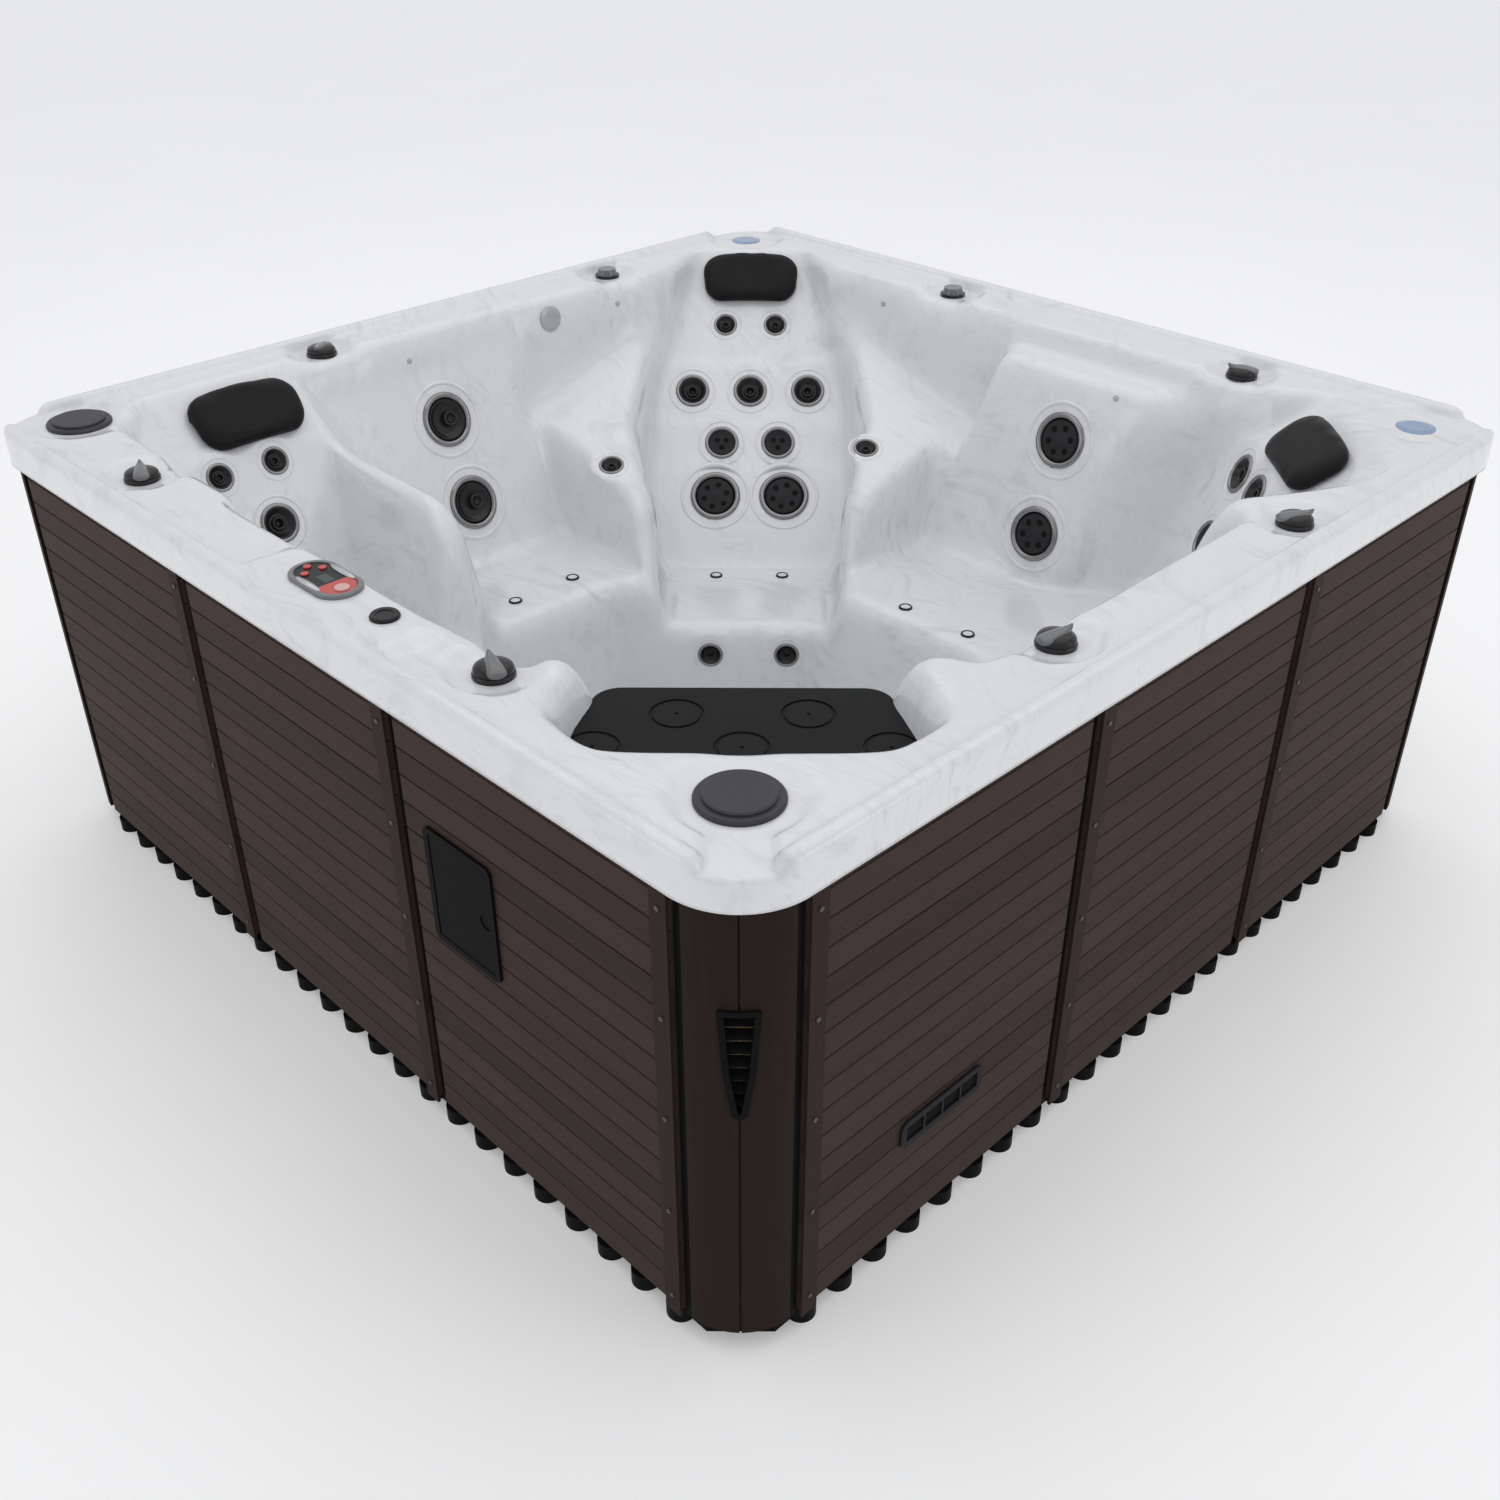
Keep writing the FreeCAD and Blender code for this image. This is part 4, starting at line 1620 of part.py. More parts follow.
# Head pillows: crowned foam with its sides drawn in, just clear of the wall.
PILLOW_SHARES = {
    "pillow_tall": (-0.900, 0.900, 0.9148, REAR_LEFT), "pillow_right": (0.921, 0.921, 0.9148, REAR_RIGHT),
    "pillow_left": (-0.995, -0.639, 0.9128, LEFT),
}
# The pillow's layers: how far the outline is grown, share of its corner, at a share of its thickness.
LAYER_SHARES = [(-0.10, 0.0), (-0.02, 0.12), (0.0, 0.3), (-0.02, 0.5), (-0.09, 0.75), (-0.24, 0.93),
                (-0.42, 1.0)]


def pillow_shape():
    """Layers of one rounded outline, drawn in at the back and crowned at the front."""
    half_l = size("pillow_length") / 2
    half_w = size("pillow_width") / 2
    corner = size("pillow_corner")
    thick = size("pillow_thick")
    outline = [(-half_l, -half_w, corner), (half_l, -half_w, corner), (half_l, half_w, corner),
               (-half_l, half_w, corner)]
    wires = [level_wire(offset_corners(outline, inset * corner), share * thick)
             for inset, share in LAYER_SHARES]
    return Part.makeLoft(wires, True, False)


def pillow_place(name):
    x, y, z, outward = PILLOW_SHARES[name]
    along, side = direction(outward)
    spot = seat_on(BLANK, Vector(x * RIM_HALF, y * RIM_HALF, z * TOP), along)
    normal = spot.Rotation.multVec(UP)
    up = normal.cross(side)
    turn = Rotation(side, up, normal, "ZXY")
    return Placement(spot.Base + normal * size("pillow_gap"), turn)


pillow = feature("pillow", pillow_shape())
for name in PILLOW_SHARES:
    keep(name, group(name + "_set", [copied(pillow, pillow_place(name))]))

DOC.recompute()
for item in DOC.Objects:
    if "Invalid" in item.State or "Error" in item.State:
        raise RuntimeError("%s is not up to date: %s" % (item.Name, item.State))
os.makedirs("parts", exist_ok=True)
for item in SUBPARTS:
    shape = Part.getShape(item)
    if shape.isNull() or not shape.isValid() or not shape.Solids:
        raise RuntimeError("%s has no sound shape" % item.Label)
    shape.exportStep("parts/%s.step" % item.Label)
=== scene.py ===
# %% [markdown]
# # A hot tub for six, dressed for its picture
#
# The tub is a thermoformed acrylic shell that hangs by its rim in a cabinet of composite boards.
# The engineering model gives every piece its size and place. This notebook loads that model as
# a fixed frame, and adds what it lacks: the softly flowing skin of the shell, the dished forms of
# the jets, the swept handles of the levers, the foam pillows, and a finish for every surface.

# %% Load the frame
import json
import math

import bmesh
import bpy
import numpy as np
from mathutils import Matrix, Vector
from mathutils.bvhtree import BVHTree


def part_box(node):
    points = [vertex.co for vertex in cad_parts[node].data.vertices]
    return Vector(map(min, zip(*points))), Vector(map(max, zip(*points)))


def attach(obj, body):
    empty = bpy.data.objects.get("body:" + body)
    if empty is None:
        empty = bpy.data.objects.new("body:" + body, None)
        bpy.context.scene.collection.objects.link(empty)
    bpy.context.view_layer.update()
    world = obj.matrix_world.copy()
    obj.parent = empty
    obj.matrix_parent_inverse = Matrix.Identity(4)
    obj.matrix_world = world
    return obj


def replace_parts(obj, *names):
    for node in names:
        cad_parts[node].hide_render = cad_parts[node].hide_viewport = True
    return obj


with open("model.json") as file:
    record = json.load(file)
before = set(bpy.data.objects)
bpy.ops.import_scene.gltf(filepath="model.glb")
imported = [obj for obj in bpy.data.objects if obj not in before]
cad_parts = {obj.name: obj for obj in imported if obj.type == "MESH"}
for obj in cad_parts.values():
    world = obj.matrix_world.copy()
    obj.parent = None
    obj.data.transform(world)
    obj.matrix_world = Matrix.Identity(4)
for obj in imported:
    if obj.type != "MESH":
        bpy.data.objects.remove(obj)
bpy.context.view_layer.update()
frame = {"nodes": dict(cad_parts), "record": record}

NODES = frame["nodes"]
MM = 0.001
MERGE = 0.01 * MM
UP = Vector((0, 0, 1))
print("nodes in the frame:", len(NODES))

# %% [markdown]
# ## Where the camera stands
#
# The picture looks down on the near corner of the tub, so that both visible sides run away
# from the eye. The stand, the two angles and the lens were found by lining up the corners of
# the rim, whose real places are known.

# %% Camera
STAND = Vector((2.106, -2.0735, 2.058))
YAW = math.radians(135.34)
PITCH = math.radians(32.88)
LENS_MM = 38.0
SENSOR_MM = 36.0

level = math.cos(PITCH)
aim = Vector((level * math.cos(YAW), level * math.sin(YAW), -math.sin(PITCH)))
camera_data = bpy.data.cameras.new("camera")
camera_data.lens = LENS_MM
camera_data.sensor_width = SENSOR_MM
camera = bpy.data.objects.new("camera", camera_data)
camera.location = STAND
camera.rotation_mode = "QUATERNION"
camera.rotation_quaternion = aim.to_track_quat("-Z", "Y")
bpy.context.scene.collection.objects.link(camera)
bpy.context.scene.camera = camera
print("camera looks along", [round(part, 3) for part in aim])

# %% [markdown]
# ## Floor and light
#
# A pale floor and large soft lamps suit a glossy white shell. One broad lamp overhead
# fills the seats, and two taller ones stand beside the camera, so that the dark boards of both
# sides are lit and the edges of the shell catch a soft highlight.

# %% Floor and lamps
FLOOR_HALF = 30.0
MIDDLE = (0.0, 0.0, 0.6)
SKY_COLOR = (0.97, 0.98, 1.0, 1.0)
SKY_STRENGTH = 0.70


def soft_lamp(name, place, target, size, power):
    """Square lamp at a place, turned to a target."""
    data = bpy.data.lights.new(name, "AREA")
    data.size = size
    data.energy = power
    lamp = bpy.data.objects.new(name, data)
    lamp.location = place
    lamp.rotation_mode = "QUATERNION"
    lamp.rotation_quaternion = (Vector(target) - Vector(place)).to_track_quat("-Z", "Y")
    bpy.context.scene.collection.objects.link(lamp)


def made(name, bm, body="tub"):
    """Object from a finished bmesh, riding on a body of the frame if one is named."""
    mesh = bpy.data.meshes.new(name)
    bm.to_mesh(mesh)
    bm.free()
    piece = bpy.data.objects.new(name, mesh)
    bpy.context.scene.collection.objects.link(piece)
    if body:
        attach(piece, body)
    return piece


floor_mesh = bmesh.new()
bmesh.ops.create_grid(floor_mesh, x_segments=1, y_segments=1, size=FLOOR_HALF)
floor = made("floor", floor_mesh, body=None)

soft_lamp("overhead", (-0.4, 0.6, 4.6), MIDDLE, 5.5, 50)
soft_lamp("left_side", (-1.6, -5.0, 2.4), MIDDLE, 2.4, 14)
soft_lamp("right_side", (5.0, 1.6, 2.4), MIDDLE, 2.4, 18)

world = bpy.data.worlds.new("studio")
world.use_nodes = True
sky = world.node_tree.nodes["Background"]
sky.inputs["Color"].default_value = SKY_COLOR
sky.inputs["Strength"].default_value = SKY_STRENGTH
bpy.context.scene.world = world
bpy.context.scene.view_settings.view_transform = "Standard"

# %% [markdown]
# ## Shared effects
#
# Several finishes need the same few effects: streaks that swirl through acrylic, the grain of
# a pressed board, and the fine tooth of moulded plastic. Each is a node group, built once and
# placed in every material with its own values.

# %% Helpers for node groups and materials
FLOAT, VECTOR = "NodeSocketFloat", "NodeSocketVector"


def group_of(name, inputs, outputs):
    """Empty shader group with named sockets; inputs give a kind and a starting value."""
    tree = bpy.data.node_groups.new(name, "ShaderNodeTree")
    for label, (kind, value) in inputs.items():
        socket = tree.interface.new_socket(label, in_out="INPUT", socket_type=kind)
        if value is not None:
            socket.default_value = value
    for label, kind in outputs.items():
        tree.interface.new_socket(label, in_out="OUTPUT", socket_type=kind)
    return tree, tree.nodes.new("NodeGroupInput"), tree.nodes.new("NodeGroupOutput")


def placed(tree, kind, values=None, **settings):
    """Node of a kind, with plain values on its sockets."""
    node = tree.nodes.new(kind)
    for setting, value in settings.items():
        setattr(node, setting, value)
    for socket, value in (values or {}).items():
        node.inputs[socket].default_value = value
    return node


def wired(tree, *pairs):
    """Links, each from an output socket to an input socket."""
    for start, end in pairs:
        tree.links.new(start, end)


def sum_of(tree, operation, first, second):
    """Math node on two values; a plain number goes on the socket itself."""
    node = tree.nodes.new("ShaderNodeMath")
    node.operation = operation
    for socket, value in zip(node.inputs, (first, second)):
        if isinstance(value, (int, float)):
            socket.default_value = value
        else:
            tree.links.new(value, socket)
    return node.outputs[0]


def weighted(tree, first, first_share, second, second_share):
    """Sum of two values, each times its share."""
    return sum_of(tree, "ADD", sum_of(tree, "MULTIPLY", first, first_share),
                  sum_of(tree, "MULTIPLY", second, second_share))


# %% Swirls of pearl
swirls, swirl_in, swirl_out = group_of(
    "pearl_swirls", {"Vector": (VECTOR, None), "Scale": (FLOAT, 1.0)}, {"Mask": FLOAT})
bend = placed(swirls, "ShaderNodeTexNoise", {"Scale": 2.2, "Detail": 2.0, "Roughness": 0.5})
push = placed(swirls, "ShaderNodeVectorMath", {1: (0.55, 0.55, 0.55)}, operation="MULTIPLY")
shift = placed(swirls, "ShaderNodeVectorMath", operation="ADD")
grow = placed(swirls, "ShaderNodeVectorMath", operation="SCALE")
squeeze = placed(swirls, "ShaderNodeMapping",
                 {"Scale": (5.0, 34.0, 14.0), "Rotation": (0.3, 0.2, 0.6)})
streaks = placed(swirls, "ShaderNodeTexNoise", {"Scale": 1.0, "Detail": 6.0, "Roughness": 0.62})
clouds = placed(swirls, "ShaderNodeTexNoise", {"Scale": 3.1, "Detail": 3.0})
narrow = placed(swirls, "ShaderNodeMapRange", {"From Min": 0.50, "From Max": 0.72})
patchy = placed(swirls, "ShaderNodeMapRange", {"From Min": 0.38, "From Max": 0.62})
wired(swirls, (swirl_in.outputs["Vector"], grow.inputs[0]),
      (swirl_in.outputs["Scale"], grow.inputs["Scale"]),
      (grow.outputs[0], bend.inputs["Vector"]), (bend.outputs["Color"], push.inputs[0]),
      (push.outputs[0], shift.inputs[0]), (grow.outputs[0], shift.inputs[1]),
      (shift.outputs[0], squeeze.inputs["Vector"]), (squeeze.outputs[0], streaks.inputs["Vector"]),
      (grow.outputs[0], clouds.inputs["Vector"]), (streaks.outputs["Fac"], narrow.inputs["Value"]),
      (clouds.outputs["Fac"], patchy.inputs["Value"]))
wired(swirls, (sum_of(swirls, "MULTIPLY", narrow.outputs[0], patchy.outputs[0]),
               swirl_out.inputs["Mask"]))

# %% Grain of a pressed board
grain, grain_in, grain_out = group_of(
    "board_grain", {"Vector": (VECTOR, None), "Across": (FLOAT, 600.0)},
    {"Tone": FLOAT, "Height": FLOAT})
widen = placed(grain, "ShaderNodeVectorMath", operation="SCALE")
fibres = placed(grain, "ShaderNodeTexNoise", {"Scale": 1.0, "Detail": 4.0, "Roughness": 0.7})
bands = placed(grain, "ShaderNodeTexNoise", {"Scale": 0.07, "Detail": 3.0, "Roughness": 0.6})
wired(grain, (grain_in.outputs["Vector"], widen.inputs[0]),
      (grain_in.outputs["Across"], widen.inputs["Scale"]),
      (widen.outputs[0], fibres.inputs["Vector"]), (widen.outputs[0], bands.inputs["Vector"]))
wired(grain, (weighted(grain, fibres.outputs["Fac"], 0.55, bands.outputs["Fac"], 0.45),
              grain_out.inputs["Tone"]),
      (fibres.outputs["Fac"], grain_out.inputs["Height"]))

# %% Tooth of moulded plastic
tooth, tooth_in, tooth_out = group_of(
    "moulded_tooth", {"Vector": (VECTOR, None), "Scale": (FLOAT, 900.0), "Depth": (FLOAT, 0.2)},
    {"Normal": VECTOR, "Tone": FLOAT})
pits = placed(tooth, "ShaderNodeTexNoise", {"Detail": 2.0, "Roughness": 0.5})
marks = placed(tooth, "ShaderNodeTexNoise", {"Scale": 14.0, "Detail": 5.0, "Roughness": 0.65})
dent = placed(tooth, "ShaderNodeBump", {"Distance": 0.0004})
wired(tooth, (tooth_in.outputs["Vector"], pits.inputs["Vector"]),
      (tooth_in.outputs["Scale"], pits.inputs["Scale"]),
      (tooth_in.outputs["Vector"], marks.inputs["Vector"]),
      (pits.outputs["Fac"], dent.inputs["Height"]),
      (tooth_in.outputs["Depth"], dent.inputs["Strength"]),
      (dent.outputs["Normal"], tooth_out.inputs["Normal"]),
      (marks.outputs["Fac"], tooth_out.inputs["Tone"]))

# %% [markdown]
# ## Finishes
#
# Each finish starts from one shader node. Its plain numbers, such as gloss of the coat, sit
# on that node's own sockets. What changes over the surface comes from the shared effects.

# %% Starting a finish


def finish(name, color, roughness, **plain):
    """Material with its shader node, its tree and the surface's own coordinates."""
    material = bpy.data.materials.new(name)
    material.use_nodes = True
    tree = material.node_tree
    shader = tree.nodes["Principled BSDF"]
    shader.inputs["Base Color"].default_value = (*color, 1.0)
    shader.inputs["Roughness"].default_value = roughness
    for label, value in plain.items():
        socket = label.replace("_", " ").title().replace("Ior", "IOR")
        shader.inputs[socket].default_value = value
    where = tree.nodes.new("ShaderNodeTexCoord").outputs["Object"]
    return material, tree, shader, where


def effect(tree, group, **values):
    """One of the shared effects, placed in a material."""
    node = tree.nodes.new("ShaderNodeGroup")
    node.node_tree = group
    for label, value in values.items():
        node.inputs[label].default_value = value
    return node


def between(tree, factor, low, high):
    """Colour that goes from low to high with a factor."""
    mix = placed(tree, "ShaderNodeMix", data_type="RGBA")
    mix.inputs[6].default_value = (*low, 1.0)
    mix.inputs[7].default_value = (*high, 1.0)
    tree.links.new(factor, mix.inputs[0])
    return mix.outputs[2]


def ranged(tree, value, low, high):
    """Value from 0 to 1 spread between low and high."""
    spread = placed(tree, "ShaderNodeMapRange", {"To Min": low, "To Max": high})
    tree.links.new(value, spread.inputs["Value"])
    return spread.outputs[0]


def moulded(name, dark, light, gloss, tooth_scale=900.0, tooth_depth=0.2, **plain):
    """Moulded plastic or painted metal with a fine tooth and faint handling marks."""
    material, tree, shader, where = finish(name, dark, gloss[0], **plain)
    skin = effect(tree, tooth, Scale=tooth_scale, Depth=tooth_depth)
    wired(tree, (where, skin.inputs["Vector"]), (skin.outputs["Normal"], shader.inputs["Normal"]),
          (between(tree, skin.outputs["Tone"], dark, light), shader.inputs["Base Color"]),
          (ranged(tree, skin.outputs["Tone"], *gloss), shader.inputs["Roughness"]))
    return material


# %% Acrylic, boards, timber, steel and fabric
SLAT_PITCH = 0.0492
SLAT_FOOT = 0.042
ALONG_GRAIN = 0.03


def pearl_acrylic():
    """Glossy white acrylic with grey streaks that swirl through it."""
    material, tree, shader, where = finish("pearl_acrylic", (0.84, 0.86, 0.86), 0.2,
                                           coat_weight=0.5, coat_roughness=0.12)
    streak = effect(tree, swirls, Scale=1.0)
    faint = effect(tree, swirls, Scale=2.7)
    wired(tree, (where, streak.inputs["Vector"]), (where, faint.inputs["Vector"]))
    both = weighted(tree, streak.outputs["Mask"], 0.7, faint.outputs["Mask"], 0.4)
    white, grey = (0.775, 0.782, 0.795), (0.56, 0.566, 0.58)
    wired(tree, (between(tree, both, white, grey), shader.inputs["Base Color"]),
          (ranged(tree, both, 0.16, 0.3), shader.inputs["Roughness"]))
    return material


def composite(name, along, dark, light, board_share=0.22):
    """Dark brown board whose grain runs along one axis; each board has its own tone."""
    material, tree, shader, where = finish(name, dark, 0.55, specular_ior_level=0.06)
    stretch = [1.0, 1.0, 1.0]
    stretch[along] = ALONG_GRAIN
    lay = placed(tree, "ShaderNodeMapping", {"Scale": stretch})
    fibre = effect(tree, grain, Across=300.0)
    split = tree.nodes.new("ShaderNodeSeparateXYZ")
    board = placed(tree, "ShaderNodeTexWhiteNoise", noise_dimensions="1D")
    height = sum_of(tree, "SUBTRACT", split.outputs["Z"], SLAT_FOOT)
    row = sum_of(tree, "FLOOR", sum_of(tree, "DIVIDE", height, SLAT_PITCH), 0.0)
    tone = weighted(tree, fibre.outputs["Tone"], 0.85, board.outputs["Value"], board_share)
    relief = placed(tree, "ShaderNodeBump", {"Strength": 0.35, "Distance": 0.0006})
    wired(tree, (where, lay.inputs["Vector"]), (lay.outputs[0], fibre.inputs["Vector"]),
          (where, split.inputs[0]), (row, board.inputs["W"]),
          (between(tree, tone, dark, light), shader.inputs["Base Color"]),
          (ranged(tree, fibre.outputs["Tone"], 0.45, 0.68), shader.inputs["Roughness"]),
          (fibre.outputs["Height"], relief.inputs["Height"]),
          (relief.outputs[0], shader.inputs["Normal"]))
    return material


def sawn_timber():
    """Pale sawn wood of the hidden frame."""
    material, tree, shader, where = finish("sawn_timber", (0.55, 0.42, 0.28), 0.7)
    lay = placed(tree, "ShaderNodeMapping", {"Scale": (1.0, 1.0, 0.05)})
    fibre = effect(tree, grain, Across=160.0)
    late, early = (0.34, 0.23, 0.13), (0.70, 0.55, 0.38)
    wired(tree, (where, lay.inputs["Vector"]), (lay.outputs[0], fibre.inputs["Vector"]),
          (between(tree, fibre.outputs["Tone"], late, early), shader.inputs["Base Color"]))
    return material


def bright_steel():
    """Dark polished steel with faint polishing marks."""
    material, tree, shader, where = finish("bright_steel", (0.27, 0.268, 0.27), 0.12, metallic=1.0)
    skin = effect(tree, tooth, Scale=1400.0, Depth=0.05)
    wired(tree, (where, skin.inputs["Vector"]), (skin.outputs["Normal"], shader.inputs["Normal"]),
          (ranged(tree, skin.outputs["Tone"], 0.08, 0.2), shader.inputs["Roughness"]))
    return material


def pleated_fabric():
    """White filter fabric in narrow upright folds, with painted shade in the creases."""
    material, tree, shader, where = finish("pleated_fabric", (0.8, 0.82, 0.85), 0.85,
                                           sheen_weight=0.3)
    fold = placed(tree, "ShaderNodeTexWave", {"Scale": 60.0, "Distortion": 0.3})
    crease = placed(tree, "ShaderNodeBump", {"Strength": 0.8, "Distance": 0.002})
    # Painted shade: the colour darkens in the troughs of the folds, where the creases fall.
    shade, face = (0.55, 0.58, 0.62), (0.86, 0.88, 0.9)
    wired(tree, (where, fold.inputs["Vector"]), (fold.outputs["Fac"], crease.inputs["Height"]),
          (crease.outputs[0], shader.inputs["Normal"]),
          (between(tree, fold.outputs["Fac"], shade, face), shader.inputs["Base Color"]))
    return material


# %% Finishes by the frame's own slots
ACRYLIC = pearl_acrylic()
STEEL = bright_steel()
DARK = moulded("dark_plastic", (0.009, 0.009, 0.0095), (0.017, 0.017, 0.0185), (0.2, 0.32),
               1100.0, 0.08, specular_ior_level=0.3, coat_weight=0.1, coat_roughness=0.12)
FINISHES = {
    "base_plastic": moulded(
        "base_plastic", (0.0045, 0.0045, 0.0046), (0.0095, 0.0093, 0.0093), (0.42, 0.6),
        specular_ior_level=0.04),
    "timber": sawn_timber(),
    "screw_steel": moulded(
        "dull_steel", (0.060, 0.050, 0.044), (0.105, 0.090, 0.080), (0.4, 0.6), metallic=0.4),
    "lid_plastic": moulded(
        "lid_plastic", (0.0105, 0.011, 0.0115), (0.0175, 0.018, 0.019), (0.45, 0.6),
        700.0, 0.3, specular_ior_level=0.08),
    "filter_fabric": pleated_fabric(),
    "white_plastic": moulded(
        "white_plastic", (0.68, 0.69, 0.69), (0.80, 0.81, 0.81), (0.25, 0.4)),
    "motor_paint": moulded(
        "motor_paint", (0.04, 0.05, 0.06), (0.08, 0.09, 0.10), (0.35, 0.5)),
    "pump_plastic": moulded(
        "pump_plastic", (0.02, 0.02, 0.02), (0.04, 0.04, 0.04), (0.35, 0.5)),
    "steel": STEEL,
    "bezel_grey": moulded(
        "bezel_grey", (0.16, 0.16, 0.17), (0.22, 0.22, 0.23), (0.28, 0.4), 1200.0, 0.1),
    "face_dark": moulded(
        "face_dark", (0.010, 0.010, 0.011), (0.016, 0.016, 0.018), (0.2, 0.3),
        1200.0, 0.05, specular_ior_level=0.2, coat_weight=0.1, coat_roughness=0.1),
    "key_red": moulded(
        "key_red", (0.50, 0.030, 0.020), (0.62, 0.045, 0.030), (0.2, 0.3),
        1200.0, 0.05, coat_weight=0.5, coat_roughness=0.08),
    "dark_plastic": DARK,
    "graphite": moulded(
        "graphite", (0.095, 0.10, 0.104), (0.14, 0.145, 0.15), (0.2, 0.32),
        1300.0, 0.04, coat_weight=0.6, coat_roughness=0.08),
    "lens": moulded(
        "lens", (0.15, 0.23, 0.42), (0.24, 0.34, 0.53), (0.12, 0.2),
        600.0, 0.3, coat_weight=0.7, coat_roughness=0.05),
    "injector_grey": moulded(
        "injector_grey", (0.28, 0.29, 0.30), (0.36, 0.37, 0.38), (0.2, 0.3),
        1200.0, 0.05, coat_weight=0.4, coat_roughness=0.1),
}
print("finishes:", len(FINISHES))

# %% Finishes of single pieces
BOARD_TONES = (0.013, 0.0078, 0.0060), (0.080, 0.0520, 0.0430)
POST_TONES = (0.007, 0.0040, 0.0030), (0.040, 0.0235, 0.0185)
STILE_TONES = (0.011, 0.0065, 0.0050), (0.062, 0.0385, 0.0315)
BOARDS_X = composite("boards_front", 0, *BOARD_TONES)
BOARDS_Y = composite("boards_right", 1, *BOARD_TONES)
BOARDS_Z = composite("boards_upright", 2, *STILE_TONES, board_share=0.0)
POSTS_Z = composite("boards_corner", 2, *POST_TONES, board_share=0.0)

CLEAR_LENS = moulded("clear_lens", (0.36, 0.38, 0.39), (0.50, 0.52, 0.53), (0.1, 0.2),
                     300.0, 0.4, coat_weight=0.7, coat_roughness=0.05)
CAP_GREY = moulded("cap_grey", (0.034, 0.033, 0.037), (0.052, 0.051, 0.056), (0.38, 0.5),
                   900.0, 0.15, specular_ior_level=0.3)
VENT_BLACK = moulded("vent_black", (0.0050, 0.0050, 0.0053), (0.0090, 0.0090, 0.0095),
                     (0.4, 0.55), specular_ior_level=0.025)
VENT_GREY = moulded("vent_grey", (0.014, 0.0135, 0.0145), (0.024, 0.0235, 0.0250),
                    (0.4, 0.55), specular_ior_level=0.05)
FACE_GREY = moulded("face_grey", (0.017, 0.0175, 0.0190), (0.027, 0.0275, 0.0300),
                    (0.3, 0.42), 1100.0, 0.08, specular_ior_level=0.15)
# Painted shade: flat near-black discs stand for the shade inside the holes of the jet faces.
HOLE_SHADE = moulded("painted_hole_shade", (0.003, 0.003, 0.003), (0.005, 0.005, 0.005), (0.5, 0.6),
                specular_ior_level=0.1)
FOAM = moulded("skinned_foam", (0.0045, 0.0047, 0.0050), (0.0085, 0.0088, 0.0095),
               (0.34, 0.46), 520.0, 0.2, specular_ior_level=0.16)
SILVER = moulded("silver_band", (0.52, 0.53, 0.54), (0.66, 0.67, 0.68), (0.22, 0.32),
                 metallic=0.6)
DISPLAY = moulded("display_glass", (0.040, 0.047, 0.050), (0.050, 0.058, 0.062),
                  (0.1, 0.16), 1200.0, 0.02)
PALE_KEY = moulded("pale_key", (0.66, 0.36, 0.34), (0.78, 0.48, 0.46), (0.25, 0.35),
                   1200.0, 0.05)

OWN_FINISH = {
    "front_panels": BOARDS_X, "right_panels": BOARDS_Y, "plain_panels": BOARDS_X,
    "panel_stiles": BOARDS_Z, "corner_post_vented": POSTS_Z, "corner_posts": POSTS_Z,
    "locker_door": VENT_BLACK, "locker_box": VENT_BLACK, "corner_vent": VENT_BLACK,
    "side_vent": VENT_GREY, "wall_fittings": CLEAR_LENS, "speaker_near": CAP_GREY,
    "speaker_left": CAP_GREY, "air_injectors": FINISHES["white_plastic"], "key_jets": PALE_KEY,
}

# %% Dress the engineering pieces
for row in frame["record"]["subparts"]:
    look = OWN_FINISH.get(row["node"], FINISHES.get(row["material_slot"]))
    if look:
        mesh = NODES[row["node"]].data
        mesh.materials.clear()
        mesh.materials.append(look)

# %% [markdown]
# ## Where the fittings sit
#
# Jets, valves and lamps pass through round holes in the shell. Each is a turned piece, so
# its axis can be read from its own mesh: the spread of its points is alike in the two
# directions across the axis. The widest part is the flange, and its back lies on the shell.

# %% Seats of the turned fittings
FLANGE_SHARE = 0.93


def merged_copy(node):
    """CAD node's mesh with its doubled points joined."""
    bm = bmesh.new()
    bm.from_mesh(NODES[node].data)
    bmesh.ops.remove_doubles(bm, verts=bm.verts, dist=MERGE)
    return bm


def islands(bm):
    """Points of each separate solid in a mesh, in the mesh's own order."""
    left = set(bm.verts)
    for first in bm.verts:
        if first not in left:
            continue
        left.remove(first)
        found = [first]
        for point in found:
            for link in point.link_edges:
                other = link.other_vert(point)
                if other in left:
                    left.remove(other)
                    found.append(other)
        yield found


def seat_of(points):
    """Middle of the flange's back, direction it faces and radius, for one turned fitting."""
    places = np.array([point.co for point in points])
    middle = places.mean(0)
    spread, ways = np.linalg.eigh(np.cov((places - middle).T))
    odd = 0 if spread[2] - spread[1] < spread[1] - spread[0] else 2
    axis = ways[:, odd]
    along = (places - middle) @ axis
    across = np.linalg.norm(places - middle - np.outer(along, axis), axis=1)
    wide = along[across > FLANGE_SHARE * across.max()]
    if wide.mean() < (along.min() + along.max()) / 2:
        axis, wide = -axis, -wide
    return Vector(middle + axis * wide.min()), Vector(axis), float(across.max())


def seats_of(node):
    """Seats of all the turned fittings in a node."""
    bm = merged_copy(node)
    seats = [seat_of(found) for found in islands(bm)]
    bm.free()
    return seats


JET_NODES = ("jets_large", "jets_medium", "jets_small")
TURNED_NODES = JET_NODES + ("air_injectors", "suction_covers", "wall_fittings", "valve_bases",
                            "corner_lights", "speaker_sleeves", "speaker_near", "speaker_left")
SEATS = {node: seats_of(node) for node in TURNED_NODES}
ALL_SEATS = [seat for seats in SEATS.values() for seat in seats]
JET_SEATS = [seat for node in JET_NODES for seat in SEATS[node]]
for node, seats in SEATS.items():
    print(node, len(seats), "radius", round(1000 * max(seat[2] for seat in seats)), "mm")

